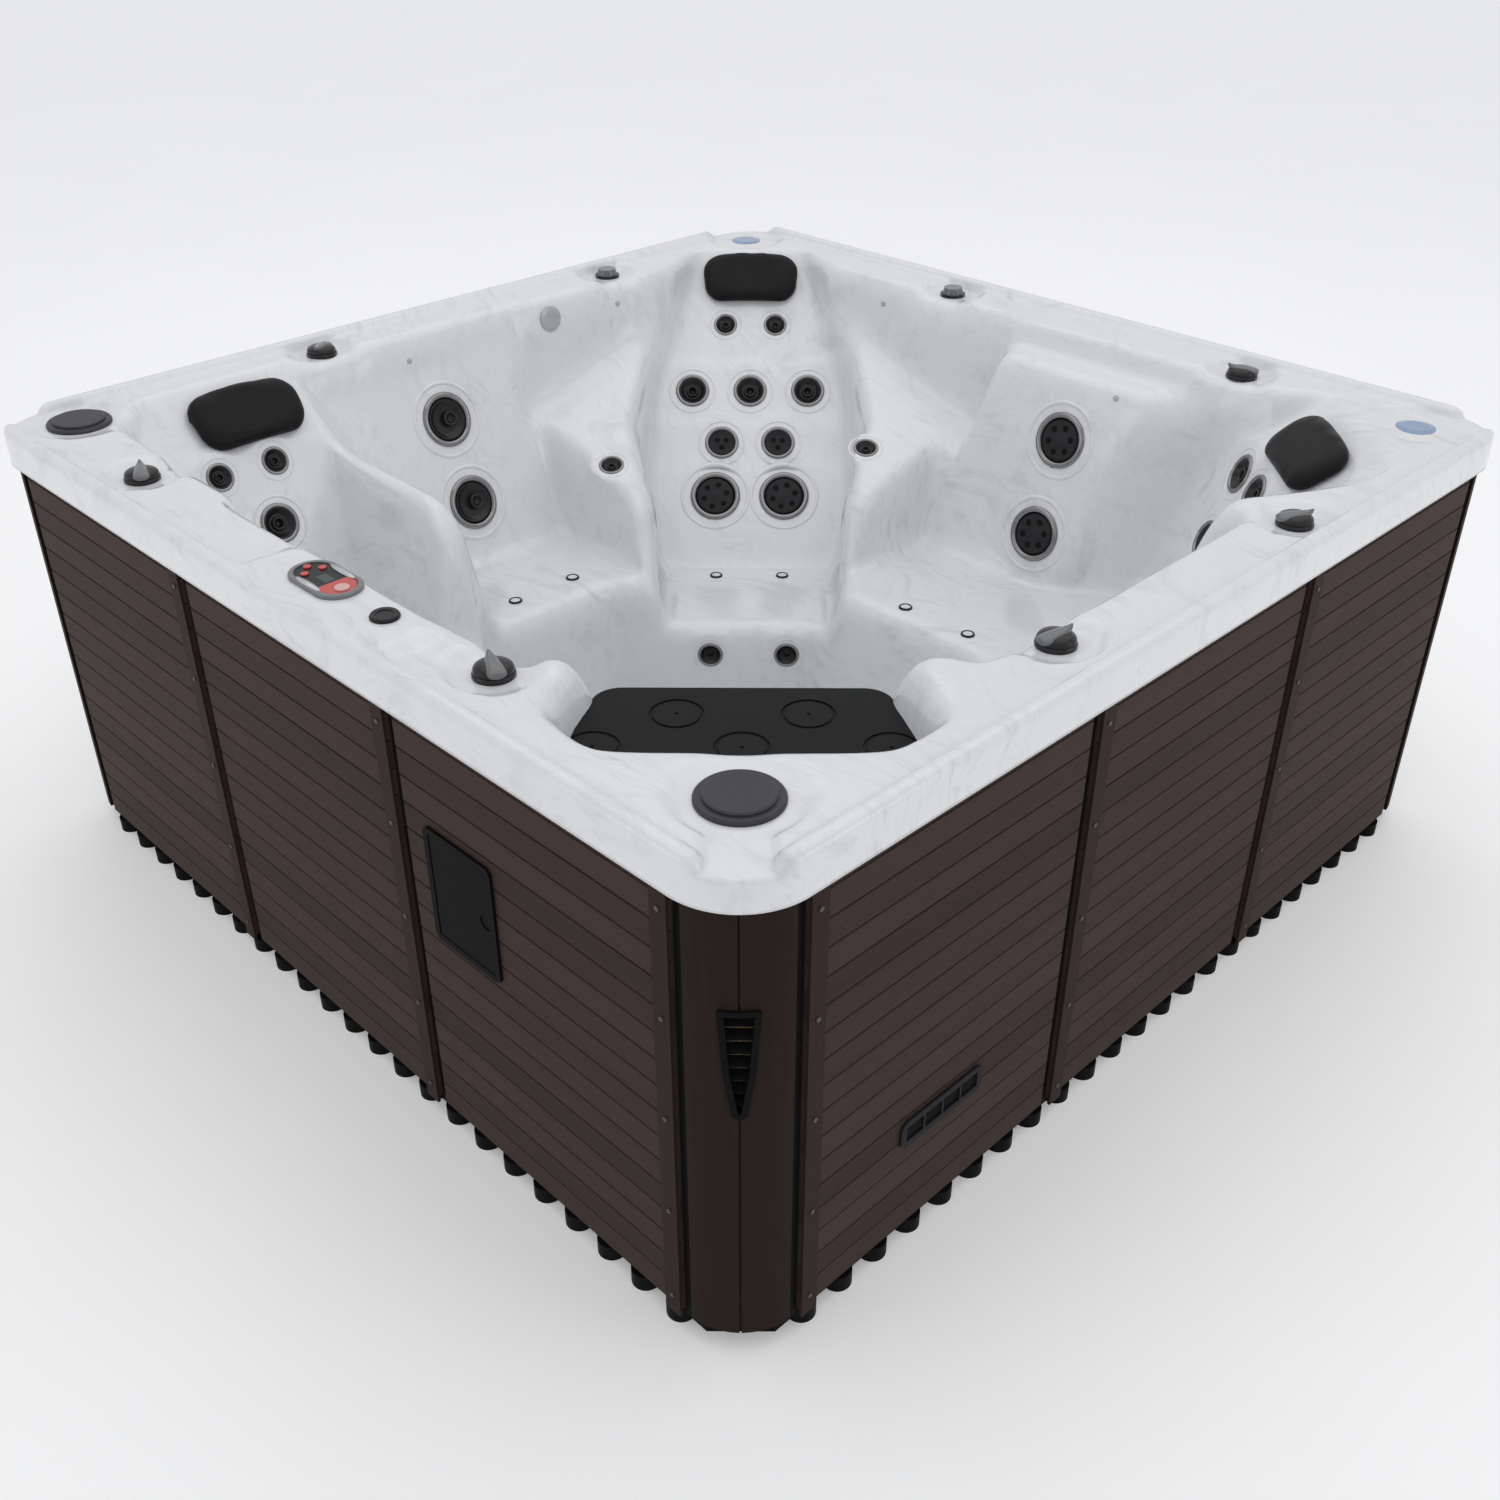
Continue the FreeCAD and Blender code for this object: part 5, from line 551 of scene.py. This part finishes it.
# %% [markdown]
# ## The shell's skin
#
# The real shell is one sheet of acrylic, softened by heat and drawn over a mould, so no edge
# inside it is sharp. The CAD shell has the right walls and seats but meets in creases. Here a
# fine grid is laid over it like the warm sheet: it drops on to the shell from above, slides
# until its cells are even, and is then smoothed, which rounds every edge as the sheet would.

# %% The form that the sheet is drawn over
SHELL_LOW, SHELL_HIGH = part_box("shell")
LIP_HALF = SHELL_HIGH.x
LIP_CORNER = 0.127
LIP_DROP = 0.071
LIP_FOOT = SHELL_HIGH.z - LIP_DROP
DECK_DROP = 0.012
DECK = SHELL_HIGH.z - DECK_DROP
HAIR = 0.5 * MM
LOOKS_DOWN = -0.01
BORE_REACH = 0.03
BORE_SHARE = 0.9
PLUG_SHARE = 0.97
PLUG_POINTS = 24
PANEL_SHARE = 0.96


def is_inner(face):
    """True for a face of the water side or the rim, which nothing covers from above."""
    middle = face.calc_center_median()
    if face.normal.z < LOOKS_DOWN or middle.z < SHELL_LOW.z + MM:
        return False
    if whole.ray_cast(middle + face.normal * HAIR + UP * HAIR, UP)[0] is not None:
        return False
    for centre, axis, radius in ALL_SEATS:
        offset = middle - centre
        depth = offset.dot(axis)
        if abs(depth) < BORE_REACH and (offset - axis * depth).length < BORE_SHARE * radius:
            return False
    return True


def flat_sheet(bm, middle, width, depth):
    """Level rectangle of a width in x and a depth in y."""
    bmesh.ops.create_grid(bm, x_segments=1, y_segments=1, size=0.5, matrix=Matrix.LocRotScale(
        Vector(middle), None, Vector((width, depth, 1))))


shell = merged_copy("shell")
bmesh.ops.triangulate(shell, faces=shell.faces)
whole = BVHTree.FromBMesh(shell)
hidden = [face for face in shell.faces if not is_inner(face)]
bmesh.ops.delete(shell, geom=hidden, context="FACES")

# Plugs in the holes of the fittings and of the panel carry the sheet across them.
for centre, axis, radius in ALL_SEATS:
    turn = axis.to_track_quat("Z", "Y").to_matrix().to_4x4()
    bmesh.ops.create_circle(shell, cap_ends=True, segments=PLUG_POINTS,
                            radius=PLUG_SHARE * radius, matrix=Matrix.Translation(centre) @ turn)
panel_low, panel_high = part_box("topside_bezel")
panel_middle, panel_size = (panel_low + panel_high) / 2, (panel_high - panel_low) * PANEL_SHARE
flat_sheet(shell, (panel_middle.x, panel_middle.y, SHELL_HIGH.z), panel_size.x, panel_size.y)
form = BVHTree.FromBMesh(shell)
print("faces of the form:", len(shell.faces))
shell.free()

# %% Lay the sheet and let it slide
CELLS = 300
LIP_ROWS = 8
FINE_ROWS = 22
FINE_BAND = 0.095
ROUNDS = 14
SLIDE_STROKES = 4
DROP_FROM = Vector((0, 0, 2.0))
OFF_EDGE = 0.9999
FLAT_ROWS = CELLS / 2 - LIP_ROWS


def soften(bm, points, strokes):
    """Smooth some points of a mesh, stroke by stroke."""
    for stroke in range(strokes):
        bmesh.ops.smooth_vert(bm, verts=points, factor=0.5,
                              use_axis_x=True, use_axis_y=True, use_axis_z=True)


def rounded(x, y, half, corner):
    """Point of a square of this half width, moved so that the square gets round corners."""
    limit = half - corner
    over_x, over_y = abs(x) - limit, abs(y) - limit
    if over_x > 0 and over_y > 0:
        pull = max(over_x, over_y) / math.hypot(over_x, over_y)
        x = math.copysign(limit + over_x * pull, x)
        y = math.copysign(limit + over_y * pull, y)
    return x, y


def spread_out(rows):
    """Distance from the middle for a count of rows from the middle; the rim's rows are finer."""
    coarse = FLAT_ROWS - FINE_ROWS
    inner = LIP_HALF - FINE_BAND
    if rows <= coarse:
        return inner * rows / coarse
    return inner + FINE_BAND * (rows - coarse) / FINE_ROWS


skin = bmesh.new()
bmesh.ops.create_grid(skin, x_segments=CELLS, y_segments=CELLS, size=CELLS / 2)
for point in skin.verts:
    ring = max(abs(point.co.x), abs(point.co.y))
    low = max(ring - FLAT_ROWS, 0.0)
    shrink = FLAT_ROWS / ring if low else 1.0
    x = math.copysign(spread_out(abs(point.co.x) * shrink), point.co.x)
    y = math.copysign(spread_out(abs(point.co.y) * shrink), point.co.y)
    x, y = rounded(x, y, LIP_HALF, LIP_CORNER)
    if low:
        point.co = (x, y, DECK - (DECK - LIP_FOOT) * low / LIP_ROWS)
    else:
        hit = form.ray_cast(Vector((x, y, 0)) * OFF_EDGE + DROP_FROM, -UP)[0]
        point.co = (x, y, hit.z if hit else DECK)

sliding = [point for point in skin.verts if not point.is_boundary]
for turn in range(ROUNDS):
    soften(skin, sliding, SLIDE_STROKES)
    for point in sliding:
        point.co = form.find_nearest(point.co)[0]
print("points of the skin:", len(skin.verts))

# %% Round its edges and close the lip
RIM_BAND = 0.075
INNER_STROKES = 6
RIM_STROKES = 1
LIP_RETURN = 0.016

inner_half = LIP_HALF - RIM_BAND
softer = [point for point in sliding if max(abs(point.co.x), abs(point.co.y)) < inner_half]
soften(skin, softer, INNER_STROKES)
soften(skin, sliding, RIM_STROKES)

rim_edges = [edge for edge in skin.edges if edge.is_boundary]
for point in bmesh.ops.extrude_edge_only(skin, edges=rim_edges)["geom"]:
    if isinstance(point, bmesh.types.BMVert):
        point.co.x *= 1 - LIP_RETURN / LIP_HALF
        point.co.y *= 1 - LIP_RETURN / LIP_HALF

# %% [markdown]
# Round each jet the sheet is pressed flat, so that the bezel sits on it all the way round.
# The flatness fades into the seat's own form, and the sheet is open under the bezel.

# %% Press it flat round the jets and open it
OPENING = 0.86
CELL_REACH = 5.5 * MM
FLAT_SHARE = 1.6
BLEND_SHARE = 2.3
LONG_EDGE = 13 * MM


def near_seats(items, places, share, less=0.0):
    """Items closer to a jet's seat than a share of its radius, less a length, with that seat."""
    places = np.array(places)
    found = []
    for seat in JET_SEATS:
        away = np.linalg.norm(places - np.array(seat[0]), axis=1)
        close = np.flatnonzero(away < share * seat[2] - less)
        found += [(items[number], seat) for number in close]
    return found


def cells_near(share, less=0.0):
    """Cells of the sheet near a jet."""
    cells = list(skin.faces)
    return near_seats(cells, [cell.calc_center_median() for cell in cells], share, less)


def corners_near(share):
    """Corners of the sheet's cells near a jet."""
    corners = list(skin.verts)
    return near_seats(corners, [corner.co for corner in corners], share)


stretched = dict.fromkeys(edge for cell, seat in cells_near(BLEND_SHARE)
                          for edge in cell.edges if edge.calc_length() > LONG_EDGE)
bmesh.ops.subdivide_edges(skin, edges=list(stretched), cuts=1, use_grid_fill=True)
for corner, (centre, axis, radius) in corners_near(BLEND_SHARE):
    offset = corner.co - centre
    away = (offset - axis * offset.dot(axis)).length / radius
    blend = min(1.0, max(0.0, (BLEND_SHARE - away) / (BLEND_SHARE - FLAT_SHARE)))
    corner.co -= axis * offset.dot(axis) * blend

bmesh.ops.delete(skin, geom=[cell for cell, seat in cells_near(1.0, CELL_REACH)],
                 context="FACES")
for corner, (centre, axis, radius) in corners_near(OPENING):
    offset = corner.co - centre
    offset -= axis * offset.dot(axis)
    corner.co += offset.normalized() * (OPENING * radius - offset.length)

# %% Finish the skin


def all_smooth(bm):
    """Shade every face of a mesh as part of a round surface."""
    for face in bm.faces:
        face.smooth = True


bmesh.ops.recalc_face_normals(skin, faces=skin.faces)
if sum(face.normal.z * face.calc_area() for face in skin.faces) < 0:
    bmesh.ops.reverse_faces(skin, faces=skin.faces)
all_smooth(skin)
shell_skin = made("shell_skin", skin)
shell_skin.data.materials.append(ACRYLIC)
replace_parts(shell_skin, "shell")
print("faces of the skin:", len(shell_skin.data.polygons))

# %% [markdown]
# ## Jets
#
# Each jet is a dark dished insert in a polished bezel, with a low ring moulded in the acrylic
# round it. All of these are turned forms, so each is spun from a short profile of radius and
# height, written in shares of the jet's own radius, about the jet's own axis.

# %% Turned profiles
SPIN_STEPS = 48


def spun(bm, profile, centre, axis, radius, steps=SPIN_STEPS):
    """Surface turned about an axis from (distance, height) points in shares of a radius."""
    turn = axis.to_track_quat("Z", "Y").to_matrix()
    points = [bm.verts.new(centre + turn @ Vector((across, 0, height)) * radius)
              for across, height in profile]
    edges = [bm.edges.new(pair) for pair in zip(points, points[1:])]
    bmesh.ops.spin(bm, geom=points + edges, cent=centre, axis=axis, angle=2 * math.pi,
                   steps=steps, use_merge=True)


def spun_at(seats, profile, steps=SPIN_STEPS):
    """Mesh with one turned surface at each of some seats."""
    bm = bmesh.new()
    for seat in seats:
        spun(bm, profile, *seat, steps)
    return bm


def turned_piece(name, bm, material, body="tub"):
    """Smooth object from turned surfaces, with its finish and the slot of that finish."""
    bmesh.ops.remove_doubles(bm, verts=bm.verts, dist=MERGE)
    bmesh.ops.recalc_face_normals(bm, faces=bm.faces)
    all_smooth(bm)
    piece = made(name, bm, body)
    piece.data.materials.append(material)
    return piece


def arc(first, last, middle, rise, steps=6):
    """Points of a half wave between two distances, from one height up by rise."""
    return [(first + (last - first) * step / steps,
             middle + rise * math.sin(math.pi * step / steps)) for step in range(steps + 1)]


# %% Moulded rings and bezels
RING = arc(1.22, 1.44, -0.03, 0.075)
BEZEL = [(1.0, -0.01), (1.0, 0.03), (0.985, 0.06), (0.95, 0.09), (0.90, 0.108), (0.85, 0.104),
         (0.81, 0.08), (0.785, 0.045), (0.775, 0.0), (0.775, -0.04)]

turned_piece("moulded_rings", spun_at(JET_SEATS, RING), ACRYLIC)
jet_bezels = turned_piece("jet_bezels", spun_at(JET_SEATS, BEZEL), STEEL)
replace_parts(jet_bezels, *JET_NODES)

# %% Inserts of the jets
NOZZLE = [(0.785, 0.03), (0.75, 0.035), (0.70, -0.02), (0.62, -0.12), (0.50, -0.22),
          (0.36, -0.26), (0.345, -0.10), (0.32, -0.04), (0.27, -0.03), (0.22, -0.06),
          (0.20, -0.14), (0.18, -0.34), (0.0, -0.36)]
PLATE = [(0.785, 0.0), (0.76, 0.03), (0.70, 0.035), (0.62, 0.0), (0.40, 0.0), (0.20, 0.015),
         (0.0, 0.02)]
BOWL = [(0.785, 0.02), (0.76, 0.0), (0.72, -0.08), (0.60, -0.16), (0.0, -0.18)]
HOLE = [(1.0, 0.0), (0.0, 0.0)]
HOLE_STEPS = 20
PLATE_JETS = 3
# Holes of a face: their count, then the radius of their ring, their own radius and their lift.
PLATE_HOLES = (3, 0.30, 0.15, 0.035)
PORT_HOLES = (6, 0.46, 0.115, 0.048)


def shaded_holes_in(bm, centre, axis, radius, count, ring, width, lift):
    """Dark round marks in a ring, painted shade that reads as the holes of a jet's face."""
    turn = axis.to_track_quat("Z", "Y").to_matrix()
    for number in range(count):
        angle = 2 * math.pi * (number + 0.25) / count
        offset = turn @ Vector((math.cos(angle), math.sin(angle), 0)) * ring * radius
        place = centre + offset + axis * (lift * radius)
        spun(bm, HOLE, place, axis, width * radius, HOLE_STEPS)


rising = sorted(SEATS["jets_medium"], key=lambda seat: seat[0].z)
nozzle_seats = SEATS["jets_small"] + rising[PLATE_JETS:]
holes = bmesh.new()
for seat in rising[:PLATE_JETS]:
    shaded_holes_in(holes, *seat, *PLATE_HOLES)
turned_piece("jet_nozzles", spun_at(nozzle_seats, NOZZLE), DARK)
turned_piece("jet_bowls", spun_at(SEATS["jets_large"], BOWL), DARK)
turned_piece("jet_plates", spun_at(rising[:PLATE_JETS], PLATE), FACE_GREY)
turned_piece("jet_plate_hole_shade", holes, HOLE_SHADE)

# %% Faces of the large jets
FACE_SHARE = 0.745
PORTED = [(0.0, 0.075), (0.12, 0.072), (0.20, 0.05), (0.34, 0.035), (0.62, 0.045), (0.70, 0.04),
          (0.735, 0.01), (FACE_SHARE, -0.02)]
WHIRL = [(FACE_SHARE, -0.02), (0.735, 0.035), (0.70, 0.045), (0.66, 0.0), (0.56, -0.08),
         (0.40, -0.13), (0.0, -0.14)]
SPOUT = [(0.30, -0.13), (0.29, 0.0), (0.26, 0.035), (0.21, 0.035), (0.17, 0.0), (0.15, -0.12),
         (0.0, -0.13)]
SPOUT_SET = 0.17
FACES = {"jet_face_tall_left": PORTED, "jet_face_tall_right": PORTED,
         "jet_face_rear_low": PORTED, "jet_face_rear_high": PORTED,
         "jet_face_left_low": WHIRL, "jet_face_left_high": WHIRL}


def seat_under(node):
    """Seat of the large jet that carries a turning face."""
    low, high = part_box(node)
    return min(SEATS["jets_large"], key=lambda seat: (seat[0] - (low + high) / 2).length)


for node, profile in FACES.items():
    centre, axis, radius = seat = seat_under(node)
    body = node + "_body"
    face = spun_at([seat], profile)
    if profile is PORTED:
        ports = bmesh.new()
        shaded_holes_in(ports, *seat, *PORT_HOLES)
        # The ports are flat discs of painted shade, not cut holes.
        turned_piece(node + "_port_shade", ports, HOLE_SHADE, body)
        look = FACE_GREY
    else:
        side_way = axis.cross(UP).normalized()
        spun(face, SPOUT, centre - side_way * SPOUT_SET * radius, axis, radius)
        look = DARK
    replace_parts(turned_piece(node + "_look", face, look, body), node)
print("jets:", len(JET_SEATS))

# %% Rings of the air injectors
INJECTOR_RING = [(0.72, 0.02), (0.74, 0.22), (0.84, 0.30), (0.96, 0.24), (1.04, 0.10),
                 (1.05, -0.02)]
INJECTOR_STEPS = 28

injector_rings = spun_at(SEATS["air_injectors"], INJECTOR_RING, INJECTOR_STEPS)
turned_piece("injector_rings", injector_rings, DARK)

# %% [markdown]
# ## Levers
#
# Each diverter lever is a dark dome under a grey handle that lies across it and sweeps up into a
# fin. The handle is drawn as a row of rounded sections, each with its place along the handle, its
# foot, its top and its half width, all in shares of the dome's radius.

# %% Levers on the deck
DOME = [(0.97, 0.0), (1.0, 0.05), (0.99, 0.14), (0.92, 0.26), (0.74, 0.36), (0.40, 0.41),
        (0.0, 0.42)]
HANDLE = [(-1.10, 0.06, 0.26, 0.26), (-1.04, 0.03, 0.38, 0.44), (-0.78, 0.02, 0.47, 0.52),
          (-0.35, 0.02, 0.52, 0.48), (0.05, 0.02, 0.53, 0.44), (0.40, 0.03, 0.54, 0.38),
          (0.66, 0.10, 0.55, 0.28), (0.82, 0.20, 0.58, 0.19), (0.94, 0.32, 0.62, 0.12),
          (1.01, 0.44, 0.64, 0.06)]
SECTION_POINTS = 12
HUB_SHARE = 0.94
RIM_SHARE = 0.9
HANDLE_LEVELS = 2


def section_loop(bm, along, bottom, top, half):
    """Edges of one oval section that stands across a handle."""
    upright = Matrix.Rotation(math.pi / 2, 4, "Y")
    stand = Matrix.Translation((along, 0, (top + bottom) / 2)) @ upright
    size = Matrix.Diagonal(((top - bottom) / 2, half, 1, 1))
    points = bmesh.ops.create_circle(bm, segments=SECTION_POINTS, radius=1.0,
                                     matrix=stand @ size)["verts"]
    return list(dict.fromkeys(edge for point in points for edge in point.link_edges))


def lever(node):
    """Dome and handle of one lever, turned as the CAD lever is."""
    low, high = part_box(node)
    middle = (low + high) / 2
    centre, axis, radius = min(SEATS["valve_bases"],
                               key=lambda seat: (seat[0].xy - middle.xy).length)
    hub = radius * HUB_SHARE
    foot = Vector((centre.x, centre.y, low.z))
    points = [point.co for point in NODES[node].data.vertices]
    foot.z = min(point.z for point in points if (point - foot).xy.length > RIM_SHARE * hub)
    tip = max(points, key=lambda place: (place - foot).xy.length)
    heading = math.atan2(tip.y - foot.y, tip.x - foot.x)
    body = node + "_body"
    turned_piece(node + "_dome", spun_at([(foot, UP, hub)], DOME), DARK, body)
    handle = bmesh.new()
    loops = [section_loop(handle, *section) for section in HANDLE]
    for first, second in zip(loops, loops[1:]):
        bmesh.ops.bridge_loops(handle, edges=first + second)
    bmesh.ops.holes_fill(handle, edges=handle.edges, sides=0)
    turn = Matrix.Rotation(heading, 4, "Z")
    stand = Matrix.Translation(foot) @ turn @ Matrix.Scale(hub, 4)
    bmesh.ops.transform(handle, matrix=stand, verts=handle.verts)
    piece = turned_piece(node + "_handle", handle, FINISHES["graphite"], body)
    rounder = piece.modifiers.new("rounder", "SUBSURF")
    rounder.levels = rounder.render_levels = HANDLE_LEVELS
    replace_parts(piece, node)


for node in [name for name in NODES if name.startswith("lever_")]:
    lever(node)

# %% [markdown]
# ## Control panel
#
# The panel's dark face is framed by a bright band that widens along its two long sides. It has a
# small display in its middle and a red field under the keys of its right end.

# %% Band, display and field of the panel
FACE_LOW, FACE_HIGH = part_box("topside_face")
FACE_MIDDLE = (FACE_LOW + FACE_HIGH) / 2
FACE_END = (FACE_HIGH.y - FACE_LOW.y) / 2
FACE_RUN = (FACE_HIGH.x - FACE_LOW.x) / 2 - FACE_END
BAND_WIDE = 2.2 * MM
BAND_TALL = 1.6 * MM
PRINT_LIFT = 0.25 * MM
PRINT_LEVEL = FACE_HIGH.z + PRINT_LIFT
OVAL_POINTS = 72
WAIST_POINTS = 40
WAIST = (34 * MM, 6 * MM)
DISPLAY_SIZE = (30 * MM, 18 * MM)
FIELD_SHARE = 0.30


def oval_face(bm, grow):
    """Flat face with the round-ended outline of the panel's face, grown by a length."""
    points = bmesh.ops.create_circle(bm, cap_ends=True, segments=OVAL_POINTS,
                                     radius=FACE_END + grow)["verts"]
    for point in points:
        point.co.x += math.copysign(FACE_RUN, point.co.x)
    bmesh.ops.translate(bm, verts=points, vec=(FACE_MIDDLE.x, FACE_MIDDLE.y, PRINT_LEVEL))


band = bmesh.new()
oval_face(band, BAND_WIDE / 2)
bmesh.ops.inset_region(band, faces=band.faces, thickness=BAND_WIDE)
middle_face = max(band.faces, key=lambda face: len(face.verts))
bmesh.ops.delete(band, geom=[middle_face], context="FACES_ONLY")
for side in (-1, 1):
    place = Vector((FACE_MIDDLE.x, FACE_MIDDLE.y + side * FACE_END, PRINT_LEVEL))
    waist = Matrix.LocRotScale(place, None, Vector((*WAIST, 1)))
    bmesh.ops.create_circle(band, cap_ends=True, segments=WAIST_POINTS, radius=1.0, matrix=waist)
raised = bmesh.ops.extrude_face_region(band, geom=band.faces)["geom"]
bmesh.ops.translate(band, verts=[item for item in raised if isinstance(item, bmesh.types.BMVert)],
                    vec=(0, 0, BAND_TALL))
turned_piece("panel_band", band, SILVER)

field = bmesh.new()
oval_face(field, -BAND_WIDE / 2)
field_edge = FACE_MIDDLE + Vector((FIELD_SHARE * (FACE_RUN + FACE_END), 0, 0))
bmesh.ops.bisect_plane(field, geom=field.verts[:] + field.edges[:] + field.faces[:],
                       clear_inner=True, plane_co=field_edge, plane_no=(1, 0, 0))
turned_piece("panel_field", field, FINISHES["key_red"])

display = bmesh.new()
flat_sheet(display, (FACE_MIDDLE.x, FACE_MIDDLE.y, PRINT_LEVEL), *DISPLAY_SIZE)
turned_piece("panel_display", display, DISPLAY)

# %% [markdown]
# ## Pillows
#
# Each head pillow is soft foam in a smooth dark skin. The CAD solid holds its outline and
# thickness. A copy is shrunk a little, remeshed evenly, and blown up with the cloth solver, so
# that its face crowns and its sides draw in as foam does under its skin.

# %% Foam pillows
VOXEL = 5 * MM
SHRINK = 1.5 * MM
SWELL = 3.5 * MM
PUFF = 2.5
FRAMES = 20
FOAM_STROKES = 12
FOOT_DRAW = 0.10
TOP_BOW = 0.16
END_THIN = 0.30
EDGE_THIN = 0.22


def pillow_axes(bm):
    """Middle of a pillow, its directions along, up and out, and its half length and height."""
    places = np.array([point.co for point in bm.verts])
    low, high = places.min(0), places.max(0)
    middle = Vector((low + high) / 2)
    ways = np.linalg.eigh(np.cov((places - places.mean(0)).T))[1]
    out, up, along = [Vector(ways[:, number]) for number in range(3)]
    out = out if out.dot(Vector((middle.x, middle.y, 0))) < 0 else -out
    up = up if up.z > 0 else -up
    half_long = max(abs((point.co - middle).dot(along)) for point in bm.verts)
    half_tall = max(abs((point.co - middle).dot(up)) for point in bm.verts)
    return middle, along, up, out, half_long, half_tall


def drawn_in(bm):
    """Narrow a pillow towards its foot, bow its upper edge and thin its two ends."""
    middle, along, up, out, half_long, half_tall = pillow_axes(bm)
    back = min((point.co - middle).dot(out) for point in bm.verts)
    for point in bm.verts:
        offset = point.co - middle
        u = offset.dot(along) / half_long
        v = offset.dot(up) / half_tall
        w = offset.dot(out) - back
        narrow = 1 - FOOT_DRAW * (1 - v) / 2
        bowed = v - TOP_BOW * u * u * (1 + v) / 2
        thin = 1 - END_THIN * u * u - EDGE_THIN * v * v
        point.co = (middle + along * (u * narrow * half_long) + up * (bowed * half_tall)
                    + out * (back + w * thin))


def apply_modifiers(piece):
    """Turn what the modifiers show into the piece's own mesh."""
    graph = bpy.context.evaluated_depsgraph_get()
    final = bpy.data.meshes.new_from_object(piece.evaluated_get(graph))
    old = piece.data
    piece.modifiers.clear()
    piece.data = final
    bpy.data.meshes.remove(old)


def puffed(pillow):
    """Blow a pillow up with the cloth solver, no point further than the foam gives way."""
    start = [point.co.copy() for point in pillow.data.vertices]
    cloth = pillow.modifiers.new("puff", "CLOTH")
    cloth.settings.use_pressure = True
    cloth.settings.uniform_pressure_force = PUFF
    cloth.settings.effector_weights.gravity = 0
    scene = bpy.context.scene
    for number in range(1, FRAMES + 1):
        scene.frame_set(number)
    apply_modifiers(pillow)
    scene.frame_set(1)
    for point, first in zip(pillow.data.vertices, start):
        step = point.co - first
        if step.length > SWELL:
            point.co = first + step.normalized() * SWELL


def foam_pillow(node):
    """Soft pillow that stands for a CAD pillow."""
    bm = merged_copy(node)
    bm.normal_update()
    places = [point.co - point.normal * SHRINK for point in bm.verts]
    for point, place in zip(bm.verts, places):
        point.co = place
    drawn_in(bm)
    pillow = made("soft_" + node, bm, body=None)
    remesh = pillow.modifiers.new("even", "REMESH")
    remesh.mode = "VOXEL"
    remesh.voxel_size = VOXEL
    apply_modifiers(pillow)
    puffed(pillow)
    bm = bmesh.new()
    bm.from_mesh(pillow.data)
    soften(bm, bm.verts, FOAM_STROKES)
    all_smooth(bm)
    bm.to_mesh(pillow.data)
    bm.free()
    rounder = pillow.modifiers.new("rounder", "SUBSURF")
    rounder.levels = rounder.render_levels = 1
    pillow.data.materials.clear()
    pillow.data.materials.append(FOAM)
    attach(pillow, "tub")
    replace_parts(pillow, node)
    return pillow


for node in ("pillow_tall", "pillow_right", "pillow_left"):
    pillow = foam_pillow(node)
    print(node, len(pillow.data.polygons), "faces")

# %% Floor finish
FLOOR_GLOW = 0.18

paper, paper_tree, paper_shader, paper_where = finish(
    "pale_floor", (0.86, 0.86, 0.86), 0.7,
    emission_color=(1.0, 1.0, 1.0, 1.0), emission_strength=FLOOR_GLOW)
unevenness = placed(paper_tree, "ShaderNodeTexNoise", {"Scale": 1.5, "Detail": 3.0})
paper_tone = between(paper_tree, unevenness.outputs["Fac"], (0.88, 0.88, 0.88), (0.92, 0.92, 0.92))
wired(paper_tree, (paper_where, unevenness.inputs["Vector"]),
      (paper_tone, paper_shader.inputs["Base Color"]))
floor.data.materials.append(paper)
